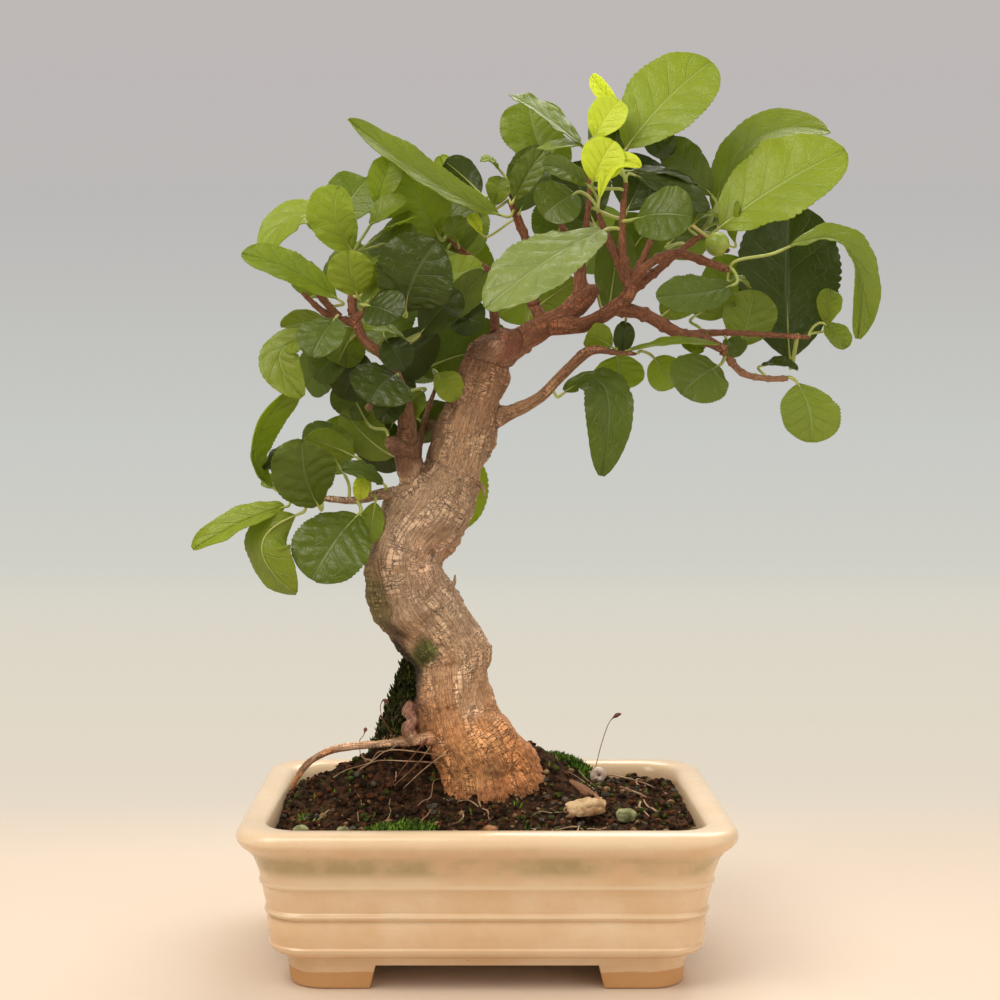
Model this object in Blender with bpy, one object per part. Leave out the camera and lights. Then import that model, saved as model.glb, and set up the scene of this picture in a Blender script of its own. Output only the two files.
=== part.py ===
"""Bonsai tree in a glazed rectangular pot, life size.

The tree is drawn on its front elevation, as a bonsai is styled: the tables below give
(x, z, depth) in millimetres, x to the right and z up from the middle of the pot's footprint.
on_sight_line() then carries each point along the line from the viewer's eye to its depth
behind (+) or in front of (-) that elevation.
"""

import math
from typing import NamedTuple

import bmesh
import bpy
from mathutils import Vector

MM = 0.001

# ---------------------------------------------------------------- driving sizes, millimetres
POT_LENGTH = 152.0  # over the lip
POT_DEPTH = 116.0
POT_HEIGHT = 50.0
LIP_OVERHANG = 5.0  # lip beyond the neck below it
LIP_WIDTH = 9.5
LIP_HEIGHT = 10.5  # from the neck up to the rim
UPPER_LINE_BELOW_RIM = 17.1
LOWER_LINE_BELOW_RIM = 26.8
WALL = 6.0
CORNER_RADIUS = 17.0
FOOT_HEIGHT = 7.5
FOOT_REACH = 29.0  # along each side, at the top of the foot
FOOT_TAPER = 3.5
FOOT_THICKNESS = 13.0
FLOOR = 5.0
DRAIN_RADIUS = 6.0
DRAIN_SPACING = 64.0
SCREEN_SIDE = 24.5
SCREEN_THICKNESS = 1.0
SCREEN_BARS = 4

SOIL_BELOW_RIM = 5.0
SOIL_MIDDLE = (0.0, 8.0)
MOUNDS = (  # x, y, height, spread along x and y
    (6.0, 10.0, 15.0, 30.0, 24.0),
    (-36.0, 15.0, 9.0, 16.0, 17.0),
)

LEAF_THICKNESS = 0.9
LEAF_FOLD = 0.16  # rise of each edge over the midrib, as a share of the half width
TWIG_SIDES = 7
TRUNK_SIDES = 14

CLEARANCE = 0.3  # between pieces that touch

EYE = Vector((-6.4, -563.0, 174.0))  # where the front of the tree is looked at from

# The soil that the tables are drawn over: its level, and the pot's inner half length and depth there.
DRAWN_SOIL_LEVEL = 45.0
DRAWN_INSIDE = (66.1, 48.1)

# ---------------------------------------------------------------- heights that follow
FLOOR_TOP = FOOT_HEIGHT + FLOOR
SOIL_LEVEL = POT_HEIGHT - SOIL_BELOW_RIM
SOIL_BOTTOM = FLOOR_TOP + SCREEN_THICKNESS + 2 * CLEARANCE
TREE_LIFT = SOIL_LEVEL - DRAWN_SOIL_LEVEL


class Wood(NamedTuple):
    """One stretch of wood: its centre line as (x, z, depth) and its radius at each point."""

    points: tuple
    radii: tuple


class Leaf(NamedTuple):
    """A leaf: stalk end, middle of the midrib and tip as (x, z, depth), width and facing."""

    foot: tuple
    middle: tuple
    tip: tuple
    width: float
    face: tuple


# The trunk's centre line and radius, root flare to top.
TRUNK = Wood(
    (
        (0, 36, 2), (0, 44, 1), (0, 51, 0), (-0.5, 57, 0), (-2.5, 63, 0), (-5.5, 69, 0), (-8, 75, 1), (-9.5, 82, 2),
        (-9, 90, 3), (-10, 96, 3), (-14, 101, 2), (-18, 107, 1), (-23, 113, 0), (-26, 120, -1), (-27, 128, -1),
        (-24, 135, 0), (-19, 141, 0), (-15, 147, 0), (-11, 154, 0), (-8.5, 162, 0), (-6, 171, 1), (-3, 180, 2),
        (0, 188, 4), (1, 194, 5), (3, 199, 6),
    ),
    (
        13, 14.5, 15, 15, 14.2, 12.6, 11.5, 12.5, 11.5, 11.5, 13, 13.5, 13.5, 12.5, 12.5, 13.5, 13.5, 13,
        10, 9.5, 9.5, 9, 8.5, 6.5, 4.5,
    ),
)

TRUNK_FOOT_POINTS = 8  # how many of the trunk's points reach down into the soil

# The root flare and the roots that run over the soil and into it.
ROOTS = (
    Wood(((-2, 65, 0), (6, 60, -1), (11, 54, -2), (13, 47, -2), (14, 38, -2)), (9, 10, 9.3, 8.5, 7)),
    Wood(
        ((-8, 69, 4), (-19, 69, 8), (-33, 66.4, 9), (-48, 65.8, 8), (-54, 62.5, 6), (-60, 57, 3), (-63, 50, 0)),
        (4.2, 3, 2, 1.8, 1.7, 1.4, 1.1),
    ),
    Wood(
        ((-17, 99, 10), (-22, 92, 12), (-26, 84, 14), (-28.5, 76, 16), (-30.5, 68, 18), (-32, 59, 19), (-33, 48, 20)),
        (5, 6.5, 7.5, 9, 10.5, 11.5, 11),
    ),
    Wood(((12, 58, 4), (20, 54, 5), (28, 51.5, 2), (35, 48, -3), (40, 43, -6)), (6, 4.2, 3, 2.4, 1.6)),
    Wood(((4, 52, -12), (10, 49, -20), (20, 46, -27), (27, 41, -32)), (5, 3.2, 2.2, 1.4)),
)

# The branches, thickest first, each starting inside the wood that bears it.
BRANCHES = (
    Wood(
        ((0, 192, 5), (9, 197, 3), (18, 202, 2), (26, 207, 1), (33, 213, 0), (37, 216, 0)),
        (6, 4.6, 4.2, 3.8, 3.4, 1.8),
    ),
    Wood(((31, 211, 0), (31, 222, 2), (31.5, 229, 3), (33, 237, 4)), (3, 2.2, 2.3, 1.1)),
    Wood(((21, 203, 1), (33, 204, -6), (42, 209, -10), (47, 214, -12), (47, 219, -12)), (3.4, 2.8, 2.6, 2.6, 2.2)),
    Wood(((47, 217, -12), (43, 226, -12), (40, 232, -10), (37, 240, -9)), (2, 1.5, 1.2, 0.8)),
    Wood(((47, 217, -12), (45, 228, -14), (45, 240, -14), (46, 250, -12)), (1.8, 1.2, 1, 0.7)),
    Wood(((47, 216, -12), (53, 223, -14), (62, 227, -16), (73, 224, -17), (80, 221.5, -17)), (2, 1.5, 1.4, 1.3, 1)),
    Wood(((48, 215, -11), (57, 222, -7), (64, 228, -3), (71, 233, -2)), (1.8, 1.3, 1.1, 0.9)),
    Wood(((43, 209, -10), (52, 207, -10), (63, 201, -12), (72, 198.5, -14), (79, 195, -15)), (2.4, 2.1, 1.9, 1.7, 1.4)),
    Wood(((78, 195, -15), (84, 188, -14), (92, 186, -12), (99, 186, -11)), (1.4, 1.1, 1, 0.9)),
    Wood(((66, 200.5, -12), (78, 201, -9), (90, 200.5, -6), (106, 199.5, -3)), (1.4, 1, 0.9, 0.7)),
    Wood(
        ((0, 172, 2), (11, 176, -2), (18, 180, -5), (25, 187, -9), (34, 195, -12), (43, 194.5, -14), (50, 194, -15)),
        (4, 2.6, 2.2, 2, 1.9, 1.4, 1),
    ),
    Wood(((2, 194, 8), (3, 205, 13), (1, 215, 17), (-4, 222, 20)), (3, 2.1, 1.8, 1.2)),
    Wood(((19, 202, 3), (16.5, 209, 4), (9, 217, 7), (0, 222, 9), (-9, 229, 10), (-16, 240, 10)), (2.4, 1.9, 1.5, 1.3, 1.1, 0.8)),
    Wood(((16, 210, 4), (14, 222, 2), (13, 232, 0), (10, 241, -1), (7, 251, -2)), (1.6, 1.4, 1.3, 1, 0.7)),
    Wood(((-20, 148, 0), (-25, 158, -5), (-25.5, 168, -9), (-28, 183, -11), (-33, 193, -12), (-40, 199, -12), (-43.5, 208, -12)),
         (5, 3.4, 2.6, 2.2, 2, 1.9, 2)),
    Wood(((-43, 204, -12), (-52, 207, -12), (-60, 214, -11)), (1.4, 1.1, 0.7)),
    Wood(((-43.5, 207, -12), (-44, 216, -10), (-44, 224, -9)), (1.6, 1.2, 0.9)),
    Wood(((-21, 149, -1), (-34, 148, -5), (-43, 146, -8), (-52, 146.5, -10), (-64, 146, -13)), (3.4, 2.2, 1.8, 1.5, 1)),
    Wood(((-10, 166, 4), (-17, 170, 14), (-24, 178, 26), (-30, 190, 34)), (2.8, 2, 1.5, 0.9)),
    Wood(((2, 190, 10), (12, 196, 24), (22, 206, 36), (30, 218, 44)), (3.4, 2.3, 1.8, 1)),
)

# The leaves that are large enough to be met as pieces of their own, shoot by shoot.
LEAVES = {
    "low_left": (
        Leaf((-65, 144, -14), (-78, 140, -17), (-96, 130, -20), 9, (0.3, -0.5, 0.8)),
        Leaf((-68, 149, -13), (-76, 164, -16), (-61, 184, -16), 10, (0.9, -0.4, 0.2)),
        Leaf((-54, 143, -14), (-59, 154, -24), (-60, 166, -29), 17, (0, -0.95, 0.3)),
        Leaf((-33, 151, -9), (-39, 155, -14), (-47, 156, -20), 8, (-0.1, -0.7, 0.7)),
        Leaf((-29, 160, 0), (-39, 167, 4), (-46, 176, 6), 14, (0.3, 0.9, 0.3)),
        Leaf((-60, 142, -16), (-73, 131, -20), (-62, 115.5, -22), 15, (0.5, 0.8, 0.3)),
        Leaf((-43, 142, -11), (-50, 133, -20), (-57, 121, -24), 22, (0.1, -0.85, 0.5)),
    ),
    "mid_left": (
        Leaf((-50, 200, -16), (-67, 195, -19), (-60, 180, -23), 11, (-0.2, -0.8, 0.5)),
        Leaf((-49, 206, -18), (-53, 201, -26), (-57, 193, -30), 13, (-0.1, -0.8, 0.6)),
        Leaf((-50, 205, -7), (-58, 205, -3), (-67, 203, 0), 9, (0, 0.5, 0.8)),
        Leaf((-29, 187, -15), (-33, 185, -22), (-38, 178, -27), 18, (0, -0.9, 0.4)),
        Leaf((-24, 187, 24), (-7, 194, 25), (9, 195, 26), 19, (0, 0.95, 0.2)),
        Leaf((-14, 166, 20), (-8, 152, 32), (-12, 136, 38), 16, (0, 0.9, 0.4)),
    ),
    "high_left": (
        Leaf((-46, 225, -10), (-59, 240, -8), (-74, 227, -8), 14, (0, -0.6, 0.8)),
        Leaf((-47, 211, -17), (-63, 221, -22), (-80, 227, -24), 10, (0.2, -0.8, 0.5)),
        Leaf((-43, 227, -13), (-49, 238, -18), (-48, 249, -20), 16, (-0.5, -0.8, 0.2)),
        Leaf((-42, 213, -19), (-44, 220, -24), (-45, 228, -26), 12, (0, -0.9, 0.3)),
        Leaf((-15, 232, 2), (-21, 243, -3), (-27, 255, -6), 18, (-0.3, -0.9, 0.3)),
        Leaf((-26, 207, -22), (-24, 218, -30), (-16, 231, -34), 22, (-0.1, -0.95, 0.2)),
        Leaf((-39, 210, -26), (-34, 209, -32), (-28, 206, -36), 12, (0, -0.9, 0.4)),
        Leaf((7, 239, -6), (-16, 250, -10), (-45, 271, -12), 11, (0.3, -0.7, 0.6)),
        Leaf((-12, 239, 14), (-12, 249, 18), (-15, 259, 20), 9, (0, -0.9, 0.3)),
    ),
    "top": (
        Leaf((45, 260, -8), (60, 275, -6), (75, 287, -2), 22, (-0.2, -0.75, 0.6)),
        Leaf((33, 261, 2), (20, 272, 5), (8, 279, 8), 13, (0.3, -0.4, 0.8)),
        Leaf((20, 256, 16), (16, 267, 20), (14, 277, 22), 19, (-0.1, -0.9, 0.3)),
        Leaf((35, 250, -16), (38, 257, -19), (42, 264, -20), 12, (0, -0.9, 0.4)),
        Leaf((34, 249, -19), (27, 254, -24), (19, 256, -27), 9, (0, -0.8, 0.6)),
        Leaf((9, 244, -9), (13, 252, -12), (19, 261, -13), 8, (0, -0.9, 0.4)),
        Leaf((40, 235, -16), (22, 226, -40), (0, 209, -48), 17, (-0.3, -0.85, 0.45)),
        Leaf((48, 253, -9), (61, 248, -9), (73, 241, -12), 9, (0, -0.8, 0.6)),
        Leaf((48, 238, -22), (57, 240, -30), (68, 239, -33), 17, (0, -0.9, 0.4)),
    ),
    "right": (
        Leaf((74, 236, 4), (93, 254, 8), (113, 268, 12), 14, (-0.3, -0.5, 0.8)),
        Leaf((75, 234, -6), (96, 249, -10), (118, 261, -12), 19, (-0.2, -0.75, 0.6)),
        Leaf((100, 190, 2), (99, 216, 6), (100, 243, 8), 29, (0, -1, 0.1)),
        Leaf((83, 221.5, -20), (121, 232, -22), (119, 198, -24), 9, (0.3, -0.8, 0.5)),
        Leaf((82, 217, -24), (70, 214, -32), (56, 213, -35), 12, (0, -0.85, 0.5)),
        Leaf((83, 196, -3), (86, 205, -1), (88, 215, 0), 15, (0, -0.9, 0.3)),
        Leaf((77, 190.5, -18), (71, 187, -26), (64, 181, -30), 16, (0, -0.9, 0.4)),
        Leaf((102, 185, -13), (106, 176, -20), (107, 165, -22), 17, (0.2, -0.9, 0.3)),
        Leaf((20, 177, -10), (42, 186, -16), (38, 155, -20), 12, (0.3, -0.9, 0.2)),
    ),
    "back": (
        Leaf((-31, 192, 36), (-34, 204, 42), (-36, 217, 44), 20, (0, 0.9, 0.4)),
        Leaf((-28, 186, 38), (-18, 192, 48), (-6, 194, 54), 17, (0, 0.8, 0.5)),
        Leaf((31, 220, 46), (36, 231, 54), (38, 243, 58), 20, (0, 0.9, 0.4)),
        Leaf((28, 213, 46), (16, 212, 58), (4, 207, 64), 18, (0, 0.8, 0.5)),
        Leaf((-5, 223, 24), (-8, 234, 30), (-9, 246, 32), 17, (0, 0.9, 0.3)),
    ),
}

BERRY_CENTRE = (76, 230, -16)
BERRY_RADIUS = 3.9
BERRY_STALK = Wood(((76, 230, -16), (72, 233, -15), (68, 236, -13)), (0.9, 0.6, 0.6))

# Loose things on the soil: x, y and the half sizes along x, y and up.
PEBBLES = (
    (-57, -37, 2.4, 2.0, 1.6),
    (-44, -38, 2.1, 1.7, 1.5),
    (1, -38, 2.4, 1.8, 1.6),
    (44, -22, 3.2, 2.4, 2.2),
)
MOSS_MATS = {
    "moss_cushion_right": (28, 25, 10, 9, 6.5),
    "moss_mat_left": (-26, -33, 11, 6, 2.4),
    "moss_mat_back": (16, 41, 11, 3.2, 2.4),
}
SNAIL_PLACE = (38, 10)
SNAIL_RADIUS = 2.8
BARK_START = (25.15, -26.795)  # the end by the front root
BARK_LENGTH = 13.0
BARK_RADIUS = 4.2
BARK_THICKNESS = 1.1

# ---------------------------------------------------------------- colours: colour, roughness, metallic
FINISHES = {
    "glaze": ((0.73, 0.55, 0.32), 0.28, 0.0),
    "screen": ((0.03, 0.05, 0.03), 0.6, 0.0),
    "soil": ((0.025, 0.016, 0.011), 0.95, 0.0),
    "bark": ((0.24, 0.16, 0.11), 0.85, 0.0),
    "leaf": ((0.10, 0.26, 0.03), 0.4, 0.0),
    "berry": ((0.35, 0.42, 0.05), 0.35, 0.0),
    "moss": ((0.09, 0.16, 0.02), 0.95, 0.0),
    "shell": ((0.33, 0.24, 0.14), 0.45, 0.0),
    "stone": ((0.30, 0.27, 0.20), 0.8, 0.0),
    "loose_bark": ((0.22, 0.12, 0.07), 0.9, 0.0),
}


def on_sight_line(point):
    """The place of an (x, z, depth) point of the elevation once it has moved to its depth."""
    x, z, depth = point
    scale = (depth - EYE.y) / -EYE.y
    return Vector((EYE.x + (x - EYE.x) * scale, depth, EYE.z + (z - EYE.z) * scale + TREE_LIFT))


def material(finish):
    """The Principled material of that name, made the first time it is asked for."""
    known = bpy.data.materials.get(finish)
    if known:
        return known
    colour, roughness, metallic = FINISHES[finish]
    made = bpy.data.materials.new(finish)
    made.use_nodes = True
    shader = made.node_tree.nodes["Principled BSDF"]
    shader.inputs["Base Color"].default_value = (*colour, 1)
    shader.inputs["Roughness"].default_value = roughness
    shader.inputs["Metallic"].default_value = metallic
    made.diffuse_color = (*colour, 1)
    return made


def add_object(name, points, faces, finish, sharp_angle=40.0):
    """An object with one closed skin, its faces turned outwards; points are in millimetres."""
    mesh = bpy.data.meshes.new(name)
    mesh.from_pydata([Vector(point) * MM for point in points], [], faces)
    shape = bmesh.new()
    shape.from_mesh(mesh)
    bmesh.ops.recalc_face_normals(shape, faces=shape.faces)
    shape.to_mesh(mesh)
    shape.free()
    mesh.shade_smooth()
    mesh.set_sharp_from_angle(angle=math.radians(sharp_angle))
    mesh.materials.append(material(finish))
    made = bpy.data.objects.new(name, mesh)
    bpy.context.collection.objects.link(made)
    return made


def helper(made):
    """Marks an object as a cutter or a joined piece, which shows only through its Boolean."""
    made.hide_render = True
    made.display_type = "WIRE"
    return made


def boolean(target, other, operation):
    """Cuts the other object out of the target, or joins it on."""
    modifier = target.modifiers.new(other.name, "BOOLEAN")
    modifier.operation = operation
    modifier.solver = "EXACT"
    modifier.use_self = True  # a bent skin can cross itself on the inside of its bend
    modifier.object = other


def loft(rings):
    """Points and faces of the closed skin through rings of equally many points."""
    count = len(rings[0])
    points = [point for ring in rings for point in ring]
    faces = []
    for first in range(0, count * (len(rings) - 1), count):
        for k in range(count):
            after = (k + 1) % count
            faces.append((first + k, first + after, first + count + after, first + count + k))
    faces.append(tuple(range(count)))
    faces.append(tuple(range(len(points) - count, len(points))))
    return points, faces


def rounded_rectangle(half_x, half_y, radius, z, steps=5):
    """A ring of points round a rectangle with round corners."""
    ring = []
    for quarter, (side_x, side_y) in enumerate(((1, 1), (-1, 1), (-1, -1), (1, -1))):
        for step in range(steps + 1):
            angle = math.radians(90 * (quarter + step / steps))
            x = side_x * (half_x - radius) + radius * math.cos(angle)
            y = side_y * (half_y - radius) + radius * math.sin(angle)
            ring.append((x, y, z))
    return ring


def tube_rings(centres, radii, sides):
    """Rings of points round a bent centre line, carried along it without twisting."""
    rings = []
    side = None
    for k, centre in enumerate(centres):
        along = (centres[min(k + 1, len(centres) - 1)] - centres[max(k - 1, 0)]).normalized()
        if side is None:
            side = along.cross(Vector((0, 1, 0))).normalized()
        side = (side - along * side.dot(along)).normalized()
        other = along.cross(side)
        ring = []
        for step in range(sides):
            angle = math.tau * step / sides
            ring.append(centre + radii[k] * (math.cos(angle) * side + math.sin(angle) * other))
        rings.append(ring)
    return rings


def wood_skin(wood, sides, extra=0.0):
    """The closed skin of a stretch of wood, thicker all round by extra."""
    centres = [on_sight_line(point) for point in wood.points]
    if wood in ROOTS:
        centres = [Vector((*within_pot(centre.x, centre.y), centre.z)) for centre in centres]
    radii = [radius + extra for radius in wood.radii]
    return loft(tube_rings(centres, radii, sides))


def soil_height(x, y):
    """How high the soil's surface lies at that place."""
    height = SOIL_LEVEL
    for middle_x, middle_y, rise, spread_x, spread_y in MOUNDS:
        across = (x - middle_x) / spread_x
        back = (y - middle_y) / spread_y
        height += rise * math.exp(-(across**2) - back**2)
    return height


def highest_soil(x, y, reach):
    """The highest soil within reach of that place."""
    steps = (-reach, 0, reach)
    return max(soil_height(x + along, y + back) for along in steps for back in steps)


def inside_half(z):
    """Half the pot's inner length and depth at that height: the wall leans out towards the lip."""
    lean = 4.0 * (POT_HEIGHT - z) / POT_HEIGHT
    return POT_LENGTH / 2 - LIP_WIDTH - lean, POT_DEPTH / 2 - LIP_WIDTH - lean


def within_pot(x, y):
    """The place of a drawn root or loose thing on the soil, moved in or out with the pot's walls."""
    inner_x, inner_y = inside_half(SOIL_LEVEL)
    return x * inner_x / DRAWN_INSIDE[0], y * inner_y / DRAWN_INSIDE[1]


# ---------------------------------------------------------------- the pot and what lies in it
def make_pot():
    """The pot: four corner feet, a leaning wall with raised lines, a rolled lip, two drain holes."""
    half_x = POT_LENGTH / 2
    half_y = POT_DEPTH / 2
    neck = LIP_OVERHANG
    outside = (  # inset from the lip's edge, height
        (14.3, FOOT_HEIGHT),
        (14.3, FOOT_HEIGHT + 2.6),
        (10.8, FOOT_HEIGHT + 3.2),
        (8.9, FOOT_HEIGHT + 5.5),
        (8.6, POT_HEIGHT - LOWER_LINE_BELOW_RIM - 1.7),
        (8.0, POT_HEIGHT - LOWER_LINE_BELOW_RIM - 0.6),
        (8.0, POT_HEIGHT - LOWER_LINE_BELOW_RIM + 0.6),
        (8.4, POT_HEIGHT - LOWER_LINE_BELOW_RIM + 1.4),
        (7.0, POT_HEIGHT - UPPER_LINE_BELOW_RIM - 0.9),
        (6.4, POT_HEIGHT - UPPER_LINE_BELOW_RIM - 0.1),
        (6.6, POT_HEIGHT - UPPER_LINE_BELOW_RIM + 0.9),
        (neck, POT_HEIGHT - LIP_HEIGHT),
        (neck - 1.6, POT_HEIGHT - LIP_HEIGHT + 3.0),
        (neck - 4.0, POT_HEIGHT - LIP_HEIGHT + 5.0),
        (0.0, POT_HEIGHT - 3.4),
        (0.4, POT_HEIGHT - 1.2),
        (2.2, POT_HEIGHT),
    )
    inner_radius = CORNER_RADIUS - LIP_WIDTH + 1.5
    rings = []
    for inset, z in outside:
        radius = CORNER_RADIUS - min(inset, 7.0) * 0.6
        rings.append(rounded_rectangle(half_x - inset, half_y - inset, radius, z))
    for inset, z in ((LIP_WIDTH - 1.4, POT_HEIGHT), (LIP_WIDTH, POT_HEIGHT - 1.4)):
        rings.append(rounded_rectangle(half_x - inset, half_y - inset, inner_radius, z))
    inner_x, inner_y = inside_half(FLOOR_TOP)
    rings.append(rounded_rectangle(inner_x, inner_y, inner_radius, FLOOR_TOP))
    pot = add_object("pot", *loft(rings), "glaze", sharp_angle=30.0)
    for index, (side_x, side_y) in enumerate(((1, 1), (-1, 1), (-1, -1), (1, -1))):
        boolean(pot, make_foot(index, side_x, side_y), "UNION")
    for side in (-1, 1):
        bpy.ops.mesh.primitive_cylinder_add(
            vertices=24,
            radius=DRAIN_RADIUS * MM,
            depth=3 * FLOOR * MM,
            location=(side * DRAIN_SPACING / 2 * MM, 0, (FOOT_HEIGHT + FLOOR / 2) * MM),
        )
        hole = helper(bpy.context.object)
        hole.name = f"drain_hole_{side + 1}"
        boolean(pot, hole, "DIFFERENCE")


def make_foot(index, side_x, side_y):
    """One corner foot, an L that follows the corner, narrower at the ground."""
    corner_x = POT_LENGTH / 2 - 14.3
    corner_y = POT_DEPTH / 2 - 14.3
    rings = []
    for z, taper in ((0.0, FOOT_TAPER), (FOOT_HEIGHT + 1.2, 0.0)):
        radius = 11.0
        inset = taper * 0.35
        outer = []
        for step in range(6):
            angle = math.radians(90 * step / 5)
            outer.append(
                (
                    corner_x - inset - radius + radius * math.cos(angle),
                    corner_y - inset - radius + radius * math.sin(angle),
                )
            )
        reach = FOOT_REACH - taper
        outline = [(corner_x - inset, corner_y - reach)] + outer + [(corner_x - reach, corner_y - inset)]
        outline.append((corner_x - reach, corner_y - FOOT_THICKNESS))
        outline.append((corner_x - FOOT_THICKNESS, corner_y - FOOT_THICKNESS))
        outline.append((corner_x - FOOT_THICKNESS, corner_y - reach))
        rings.append([(side_x * x, side_y * y, z) for x, y in outline])
    return helper(add_object(f"foot_{index}", *loft(rings), "glaze"))


def make_screen(name, centre_x):
    """A square plastic screen over a drain hole: a plate with a grid of square openings."""
    cells = 2 * SCREEN_BARS - 1
    cell = SCREEN_SIDE / cells
    bottom = FLOOR_TOP + CLEARANCE
    points = []
    for z in (bottom, bottom + SCREEN_THICKNESS):
        for j in range(cells + 1):
            for i in range(cells + 1):
                points.append((centre_x - SCREEN_SIDE / 2 + i * cell, -SCREEN_SIDE / 2 + j * cell, z))
    row = cells + 1
    layer = row * row

    def solid(i, j):
        return 0 <= i < cells and 0 <= j < cells and not (i % 2 and j % 2)

    faces = []
    for j in range(cells):
        for i in range(cells):
            if not solid(i, j):
                continue
            a, b, c, d = j * row + i, j * row + i + 1, (j + 1) * row + i + 1, (j + 1) * row + i
            faces.append((d, c, b, a))
            faces.append((a + layer, b + layer, c + layer, d + layer))
            for (first, second), beside in (
                ((a, b), (i, j - 1)),
                ((b, c), (i + 1, j)),
                ((c, d), (i, j + 1)),
                ((d, a), (i - 1, j)),
            ):
                if not solid(*beside):
                    faces.append((first, second, second + layer, first + layer))
    add_object(name, points, faces, "screen")


def make_soil(pockets):
    """The soil: it fills the pot from the screens up and rises in a mound to the trunk."""
    gap = CLEARANCE + 0.1
    corner = CORNER_RADIUS - LIP_WIDTH + 1.5
    rings = []
    for z in (SOIL_BOTTOM, SOIL_LEVEL):
        inner_x, inner_y = inside_half(z)
        rings.append(rounded_rectangle(inner_x - gap, inner_y - gap, corner, z, steps=5))
    edge = rings[-1]
    middle_x, middle_y = SOIL_MIDDLE
    for share in (0.94, 0.84, 0.74, 0.64, 0.54, 0.44, 0.33, 0.22, 0.1):
        ring = []
        for x, y, _ in edge:
            x = middle_x + (x - middle_x) * share
            y = middle_y + (y - middle_y) * share
            ring.append((x, y, soil_height(x, y)))
        rings.append(ring)
    soil = add_object("soil", *loft(rings), "soil", sharp_angle=60.0)
    for pocket in pockets:
        boolean(soil, pocket, "DIFFERENCE")


def make_moss(name, x, y, half_x, half_y, height):
    """A pad of moss on the soil, domed over a base that follows the ground."""
    x, y = within_pot(x, y)
    rings = []
    for share, rise in ((0.05, None), (0.55, None), (1.0, None), (1.0, 0.25), (0.85, 0.6), (0.55, 0.9), (0.1, 1.0)):
        ring = []
        for step in range(14):
            angle = math.tau * step / 14
            reach = share * (1 + 0.1 * math.sin(3 * angle + x))
            px = x + half_x * reach * math.cos(angle)
            py = y + half_y * reach * math.sin(angle)
            lift = 2 * CLEARANCE if rise is None else 2 * CLEARANCE + height * rise
            ring.append((px, py, soil_height(px, py) + lift))
        rings.append(ring)
    add_object(name, *loft(rings), "moss", sharp_angle=60.0)


def make_pebble(name, x, y, half_x, half_y, half_z):
    """A small worn stone lying on the soil."""
    x, y = within_pot(x, y)
    bpy.ops.mesh.primitive_ico_sphere_add(subdivisions=2, radius=MM)
    stone = bpy.context.object
    stone.name = name
    for vertex in stone.data.vertices:
        lump = 1 + 0.12 * math.sin(5 * vertex.co.x / MM + x) * math.cos(4 * vertex.co.y / MM + y)
        vertex.co.x *= half_x * lump
        vertex.co.y *= half_y * lump
        vertex.co.z *= half_z
    lift = highest_soil(x, y, max(half_x, half_y)) + half_z + CLEARANCE
    stone.location = (x * MM, y * MM, lift * MM)
    stone.data.shade_smooth()
    stone.data.materials.append(material("stone"))


def make_snail_shell():
    """An empty land snail shell on the soil: a low turned spire, lying on its side."""
    x, y = within_pot(*SNAIL_PLACE)
    centre = Vector((x, y, highest_soil(x, y, SNAIL_RADIUS) + SNAIL_RADIUS + CLEARANCE))
    profile = ((-1.7, 0.35), (-1.4, 0.8), (-0.6, 1.0), (0.3, 0.95), (0.75, 0.7), (1.2, 0.55), (1.6, 0.3), (1.9, 0.1))
    rings = []
    for along, share in profile:
        ring = []
        for step in range(16):
            angle = math.tau * step / 16
            ring.append(
                centre
                + Vector((0.25 * along, along, 0))
                + SNAIL_RADIUS * share * Vector((math.cos(angle), 0, math.sin(angle)))
            )
        rings.append(ring)
    add_object("snail_shell", *loft(rings), "shell")


def make_bark_curl():
    """A loose strip of bark, curled lengthwise, lying on the soil."""
    x, y = within_pot(*BARK_START)
    x += 0.45 * BARK_LENGTH
    y += 0.215 * BARK_LENGTH
    base = highest_soil(x, y, BARK_LENGTH / 2) + CLEARANCE
    rings = []
    for share in (-0.5, -0.2, 0.15, 0.5):
        along = share * BARK_LENGTH
        radius = BARK_RADIUS * (1 - 0.3 * abs(share))
        section = []
        for distance, order in ((radius, range(9)), (radius - BARK_THICKNESS, reversed(range(9)))):
            for step in order:
                angle = math.radians(-20 + 220 * step / 8)
                section.append(
                    (x + along * 0.9, y + along * 0.43 + distance * math.cos(angle), base + radius * 0.4 + distance * math.sin(angle))
                )
        rings.append(section)
    add_object("bark_curl", *loft(rings), "loose_bark")


# ---------------------------------------------------------------- the tree
def make_tree():
    """The wood in one piece: trunk, roots and branches grown together."""
    tree = add_object("tree_wood", *wood_skin(TRUNK, TRUNK_SIDES), "bark", sharp_angle=60.0)
    for index, wood in enumerate(ROOTS + BRANCHES):
        limb = helper(add_object(f"limb_{index}", *wood_skin(wood, TWIG_SIDES), "bark"))
        boolean(tree, limb, "UNION")


def root_pockets():
    """Cutters for the room that the trunk's foot and the roots take in the soil."""
    trunk_foot = Wood(TRUNK.points[:TRUNK_FOOT_POINTS], TRUNK.radii[:TRUNK_FOOT_POINTS])
    pockets = [(f"root_pocket_{index}", root, TWIG_SIDES) for index, root in enumerate(ROOTS)]
    pockets.append(("trunk_pocket", trunk_foot, TRUNK_SIDES))
    for name, wood, sides in pockets:
        yield helper(add_object(name, *wood_skin(wood, sides, 2 * CLEARANCE), "soil"))


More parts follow.
